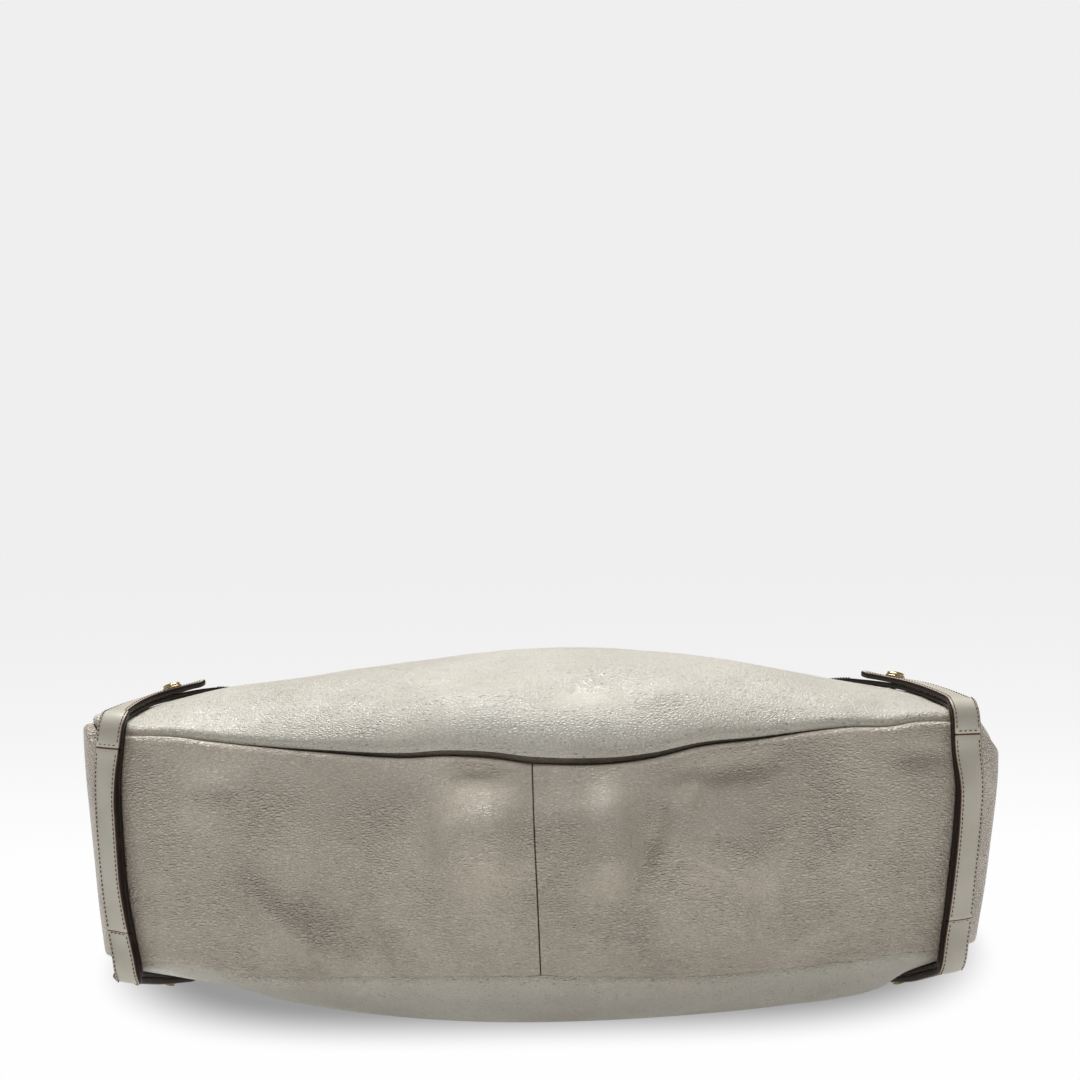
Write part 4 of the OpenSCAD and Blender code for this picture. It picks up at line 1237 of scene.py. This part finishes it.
give(stud_washers, "bag", (BRASS,), ("stud_washers",))


# ---- Ring tabs, shoulder strap and its ends ----

RING_X = 147.8
RING_Y = 196.0
RING_Z = 34.0
RING_R = 20.5
LOOP_IN = 2.6
LOOP_T = 1.8
TAB_W = 16.0
STRAP_TILT = math.radians(-4.6)
STRAP_START = 25.0
STRAP_LEG_END = 56.0
STRAP_BEND = 66.0
STRAP_RISE = 180.0
STRAP_W = 26.0
STRAP_T = 4.4


def strap_place(points):
    """Points of the strap's own plane, whose origin is between the ring centres."""
    x, y, z = points[..., 0], points[..., 1], points[..., 2]
    c, s = math.cos(STRAP_TILT), math.sin(STRAP_TILT)
    return np.stack([x, RING_Y + y * c - z * s, RING_Z + y * s + z * c], -1)


def loop_path(reach, radius):
    """Side view of a folded leather loop, from one leg's end round the wire to the other's."""
    bend = np.linspace(0, math.pi, 22)
    leg = np.linspace(-reach, 2.1, 26)[:-1]
    turn = [(-radius * math.cos(a), 2.1 + radius * math.sin(a)) for a in bend]
    return np.array([(-radius, y) for y in leg] + turn + [(radius, y) for y in leg[::-1]])


def ribbon(name, path_points, outs, width_way, width, thickness, crown=0.2, taper=None):
    """A flat strap along a path: outs is the way its face looks, width_way the way across it."""
    c = np.array([-1, -0.92, -0.75, -0.45, 0, 0.45, 0.75, 0.92, 1])
    half = width / 2 * (taper if taper is not None else np.ones(len(path_points)))
    rise = thickness / 2 - crown + crown * (1 - np.abs(c) ** 4)
    points = (
        path_points[:, None]
        + width_way[:, None] * (c[None, :, None] * half[:, None, None])
        + outs[:, None] * rise[None, :, None]
    ).reshape(-1, 3)
    faces = grid_faces(len(path_points), len(c))
    normals = point_normals(points, faces).reshape(len(path_points), len(c), 3)
    if dot(normals, outs[:, None]).mean() < 0:
        faces = faces[:, ::-1]
    return skin(name, points, faces, thickness - crown, PAINTED)


def folded_loop(name, body, side, reach, place_of, node):
    """A strip folded round a ring's wire, riveted through both legs."""
    flat = loop_path(reach, LOOP_IN + LOOP_T / 2)
    place = place_of(flat, np.zeros(len(flat)))
    along = unit(np.gradient(flat, axis=0))
    sideways = np.stack([along[:, 1], -along[:, 0]], -1)
    outs = unit(place_of(flat - sideways, np.zeros(len(flat))) - place)
    widths = unit(place_of(flat, np.ones(len(flat))) - place)
    piece = ribbon(name, place, outs, widths, TAB_W, LOOP_T)
    give(piece, body, LEATHER, (node,))
    rows = []
    for c in (-0.8, 0.8):
        rows.append(stitch_row(place + widths * c * TAB_W / 2 + outs * (LOOP_T / 2 - 0.1), outs))
    return rows


tab_threads, end_threads = [], []
for side, word in SIDES.items():
    def tab_place(flat, across, side=side):
        return np.stack([side * (RING_X + flat[:, 0]), RING_Y - RING_R + flat[:, 1], RING_Z + across], -1)

    def end_place(flat, across, side=side):
        flat_place = np.stack([side * (RING_X + flat[:, 0]), RING_R - flat[:, 1], across], -1)
        return strap_place(flat_place)

    tab_threads += folded_loop("ring_tab_" + word, "bag", side, 34.0, tab_place, "ring_tab_" + word)
    end_threads += folded_loop(
        "strap_end_" + word, "strap", side, STRAP_LEG_END - RING_R, end_place, "strap_end_" + word,
    )
give(make_object("tab_stitches", *joined(tab_threads)), "bag", (BROWN_THREAD,))
give(make_object("strap_end_stitches", *joined(end_threads)), "strap", (BROWN_THREAD,))


def strap_line(k):
    """The strap's middle line in its own plane, from the right ring (0) to the left one (3)."""
    leg = np.where(k < 1.5, mix(STRAP_START, STRAP_BEND, np.clip(k, 0, 1)),
                   mix(STRAP_BEND, STRAP_START, np.clip(k - 2, 0, 1)))
    turn = np.pi * np.clip(k - 1, 0, 1)
    return np.stack([RING_X * np.cos(turn), leg + STRAP_RISE * np.sin(turn)], -1)


strap_k = np.concatenate([
    np.linspace(0, 1, 26)[:-1], 1 + np.linspace(0, 1, int(240 * FINENESS)), 2 + np.linspace(0, 1, 26)[1:],
])
strap_flat = strap_line(strap_k)
strap_along = unit(strap_line(np.minimum(strap_k + 0.004, 3)) - strap_line(np.maximum(strap_k - 0.004, 0)))
strap_side = np.stack([strap_along[:, 1], -strap_along[:, 0]], -1)
strap_threads = []
for strap_name, share in (("strap_outer", 1), ("strap_inner", -1)):
    layer_t = STRAP_T / 2 - 0.05
    flat = strap_flat + strap_side * share * (layer_t / 2 + 0.05)
    level = np.zeros(len(flat))
    place = strap_place(np.column_stack([flat, level]))
    outs = unit(strap_place(np.column_stack([flat + share * strap_side, level])) - place)
    widths = unit(strap_place(np.column_stack([flat, level + 1])) - place)
    piece = ribbon(strap_name, place, outs, widths, STRAP_W, layer_t, 0.15)
    give(piece, "strap", LEATHER, (strap_name,))
    for c in (-0.88, 0.88):
        face = place + widths * c * STRAP_W / 2 + outs * (layer_t / 2 - 0.06)
        strap_threads.append(stitch_row(face[3:-3], outs[3:-3], pitch=2.6, length=2.0))
give(make_object("strap_stitches", *joined(strap_threads)), "strap", (BROWN_THREAD,))


# ---- Closure tab ----

CLOSURE_W = 34.0
CLOSURE_T = 2.4
HINGE = np.array([152.5, 12.3])
SNAP_ROW = 0.935
TAB_HEIGHT = 3.55
ANCHOR_LINE = [(117, 6.9), (126, 7.1), (133, 7.9), (139, 9.5), (144.6, 11.0), (148.6, 12.2)]

snap_at = front(np.zeros(1), np.array([SNAP_ROW]))[0]
snap_ahead = front(np.zeros(1), np.array([SNAP_ROW + 0.004]))[0]
snap_behind = front(np.zeros(1), np.array([SNAP_ROW - 0.004]))[0]
snap_along = unit(snap_ahead - snap_behind)[1:]
snap_out = np.array([-snap_along[1], snap_along[0]])
tab_top = snap_at[1:] + (TAB_HEIGHT + CLOSURE_T) * snap_out
tab_way = -snap_along
TAB_LINE = (
    [tuple(np.array(p)) for p in ANCHOR_LINE]
    + [tuple(HINGE + d) for d in ((2.3, 10), (4.6, 22), (4.2, 36))]
    + [tuple(tab_top - reach * tab_way) for reach in (13, 8.5, -8.5, -13)]
)


def closure_sheet():
    """The tab and the strip it folds from, cut as one length of leather with a round tip."""
    k = np.linspace(0, len(TAB_LINE) - 1, int(120 * FINENESS) + 30)
    line = through(list(enumerate(TAB_LINE)), k)
    place = np.column_stack([np.zeros(len(line)), line])
    along = unit(np.gradient(place, axis=0))
    outs = np.column_stack([np.zeros(len(line)), along[:, 2], -along[:, 1]])
    widths = np.tile([1.0, 0, 0], (len(line), 1))
    run = np.concatenate([[0], np.cumsum(np.linalg.norm(np.diff(place, axis=0), axis=1))])
    from_tip = (run[-1] - run) / 9.0
    taper = np.where(from_tip < 1, np.sqrt(np.maximum(1 - np.maximum(1 - from_tip, 0) ** 2.6, 0.05)), 1.0)
    middle = place - outs * CLOSURE_T / 2
    piece = ribbon("closure_tab", middle, outs, widths, CLOSURE_W, CLOSURE_T, 0.2, taper)
    inside = slice(4, -6)
    rows = [
        stitch_row((place + widths * c * CLOSURE_W / 2 * taper[:, None])[inside], outs[inside])
        for c in (-0.88, 0.88)
    ]
    threads = make_object("closure_stitches", *joined(rows))
    return piece, threads


closure_tab, closure_threads = closure_sheet()
for piece, materials, nodes in (
    (closure_tab, LEATHER, ("closure_tab", "closure_anchor")), (closure_threads, (BROWN_THREAD,), ()),
):
    give(piece, None, materials, nodes)
    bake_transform(piece)


# ---- Parts kept as they were designed ----

pull_low, pull_high = (np.array(corner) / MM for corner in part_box("pocket_pull_tab"))
pull_outline = round_corners((pull_high[0] - pull_low[0]) / 2, (pull_high[1] - pull_low[1]) / 2, 3.6, 96)
pull_middle = (pull_low + pull_high) / 2
pull_rows = [
    np.column_stack([
        pull_outline * share + pull_middle[:2],
        np.full(len(pull_outline), pull_high[2] + 0.1 * (1 - share**4)),
    ])
    for share in (1.0, 0.92, 0.75, 0.5, 0.25, 0.02)
]
pull_tab = skin("pull_tab", np.concatenate(pull_rows), ring_faces(6, 96), 1.6, (0, 0, (3, 2, 2, 2, 2, 2, 3)))
give(pull_tab, "pull", LEATHER, ("pocket_pull_tab",))

CAST = ("ring_left", "ring_right", "ring_tab_rivets", "strap_rivets", "pocket_slider", "pocket_pull")
PRESSED = ("snap_socket", "snap_washer", "snap_plug", "snap_cap")
for node in CAST + PRESSED:
    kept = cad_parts[node]
    kept.data.materials.clear()
    kept.data.materials.append(BRASS if node in CAST else SNAP_BRASS)


# ---- Room: camera, light and floor ----

# The camera's place in metres, and how far it is tipped to one side, in degrees.
CAMERA_PLACE = (0.001, -0.830, 0.251)
CAMERA_TIP = -1.05


def set_camera():
    """A camera at table height, level with the bag's top and tipped a degree to one side."""
    lens = bpy.data.cameras.new("camera")
    lens.lens = 49.0
    lens.sensor_width = 36.0
    lens.clip_start = 0.01
    lens.clip_end = 200.0
    camera = bpy.data.objects.new("camera", lens)
    ahead = Vector((0, 1, 0)).to_track_quat("-Z", "Y").to_matrix().to_4x4()
    tip = Matrix.Rotation(math.radians(CAMERA_TIP), 4, "Z")
    camera.matrix_world = Matrix.Translation(CAMERA_PLACE) @ ahead @ tip
    bpy.context.scene.collection.objects.link(camera)
    bpy.context.scene.camera = camera


# How the paper looks far off, near, and in the shade of the bag; what it throws back of the light,
# and the even light that the rest of the room sends up from it.
FAR_TONE = 0.863
NEAR_TONE = 0.991
CONTACT_TONE = 0.32
BOUNCE = 0.6
GLOW = 0.25
# The paper keeps its near tone up to FADE_START metres off, then fades. Distance counts mostly
# toward the horizon, so the fade runs across in level bands.
FADE_SIDEWAYS = 0.3
FADE_START = 0.36
FADE_POWER = 1.4
FADE_RATE = 2.1
# The pool of shade: its half width and half depth, the middle of its depth, how square its ends
# are, and where its edge starts and stops, as a share of its size.
POOL_WIDE = 0.28
POOL_DEEP = 0.255
POOL_MIDDLE = 0.15
POOL_SQUARE = 4.0
POOL_INNER = 0.74
POOL_OUTER = 1.02
# The floor reaches this many metres each way.
FLOOR_REACH = 60.0


def lay_floor():
    """White paper that fades to the grey of the room with distance, with a soft pool of shade
    round the foot of the bag. What it throws back at the bag is set apart from how it looks."""
    material, tree, place = start_material("paper")
    squeezed = add(tree, "VectorMath", {0: place, 1: (FADE_SIDEWAYS, 1, 1)}, operation="MULTIPLY")
    far = add(tree, "VectorMath", {0: squeezed}, operation="LENGTH")
    beyond = add(tree, "Math", {0: (far, "Value"), 1: FADE_START}, operation="SUBTRACT")
    held = add(tree, "Math", {0: beyond, 1: 0.0}, operation="MAXIMUM")
    curved = add(tree, "Math", {0: held, 1: FADE_POWER}, operation="POWER")
    fall = add(tree, "Math", {0: curved, 1: FADE_RATE, 2: 1.0}, operation="MULTIPLY_ADD")
    share = add(tree, "Math", {0: 1.0, 1: fall}, operation="DIVIDE")
    tone = add(
        tree, "Math", {0: share, 1: NEAR_TONE - FAR_TONE, 2: FAR_TONE}, operation="MULTIPLY_ADD",
    )
    spot = add(tree, "SeparateXYZ", {0: place})
    wide = add(tree, "Math", {0: (spot, "X"), 1: POOL_WIDE}, operation="DIVIDE")
    wide = add(tree, "Math", {0: wide, 1: POOL_SQUARE}, operation="POWER")
    deep = add(tree, "Math", {0: (spot, "Y"), 1: POOL_MIDDLE}, operation="SUBTRACT")
    deep = add(tree, "Math", {0: deep, 1: POOL_DEEP}, operation="DIVIDE")
    deep = add(tree, "Math", {0: deep, 1: 2.0}, operation="POWER")
    pool = add(tree, "Math", {0: wide, 1: deep}, operation="ADD")
    pool = add(tree, "Math", {0: pool, 1: 0.5}, operation="POWER")
    edge = {0: pool, 1: POOL_INNER, 2: POOL_OUTER, 3: CONTACT_TONE, 4: 1.0}
    shade = add(tree, "MapRange", edge, **SOFT)
    seen_tone = add(tree, "Math", {0: tone, 1: shade}, operation="MULTIPLY")
    glow = add(tree, "Emission", {"Color": (1, 1, 1, 1), "Strength": seen_tone})
    lit = add(tree, "BsdfDiffuse", {"Color": (BOUNCE, BOUNCE, BOUNCE, 1)})
    fill = add(tree, "Emission", {"Color": (1, 1, 1, 1), "Strength": GLOW})
    paper = add(tree, "AddShader", {0: lit, 1: fill})
    rays = add(tree, "LightPath")
    both = add(tree, "MixShader", {0: (rays, "Is Camera Ray"), 1: paper, 2: glow})
    add(tree, "OutputMaterial", {"Surface": both})
    reach = FLOOR_REACH / MM
    corners = [(-reach, -reach, 0), (reach, -reach, 0), (reach, reach, 0), (-reach, reach, 0)]
    floor = make_object("paper_floor", corners, [(0, 1, 2, 3)])
    floor.data.materials.append(material)


# What the grey room adds to the light, and the lamp's strength, its spread and its lean.
ROOM_LIGHT = 0.17
LAMP_STRENGTH = 4.05
LAMP_SPREAD = math.radians(36)
LAMP_LEAN = (math.radians(-23), math.radians(-4), 0)


def light_room():
    """One broad soft light, high and a little behind the bag, and a dim grey room all round."""
    world = bpy.data.worlds.new("room")
    bpy.context.scene.world = world
    world.use_nodes = True
    tree = world.node_tree
    tree.nodes.clear()
    rays = add(tree, "LightPath")
    strength = add(tree, "Mix", {"Factor": (rays, "Is Camera Ray"), "A": ROOM_LIGHT, "B": 1.0})
    dim = add(tree, "Background", {"Color": (FAR_TONE, FAR_TONE, FAR_TONE, 1.0), "Strength": strength})
    add(tree, "OutputWorld", {"Surface": dim})
    lamp = bpy.data.lights.new("overhead", "SUN")
    lamp.energy = LAMP_STRENGTH
    lamp.angle = LAMP_SPREAD
    above = bpy.data.objects.new("overhead", lamp)
    above.rotation_euler = LAMP_LEAN
    bpy.context.scene.collection.objects.link(above)
    bpy.context.scene.view_settings.view_transform = "Standard"


set_camera()
light_room()
lay_floor()
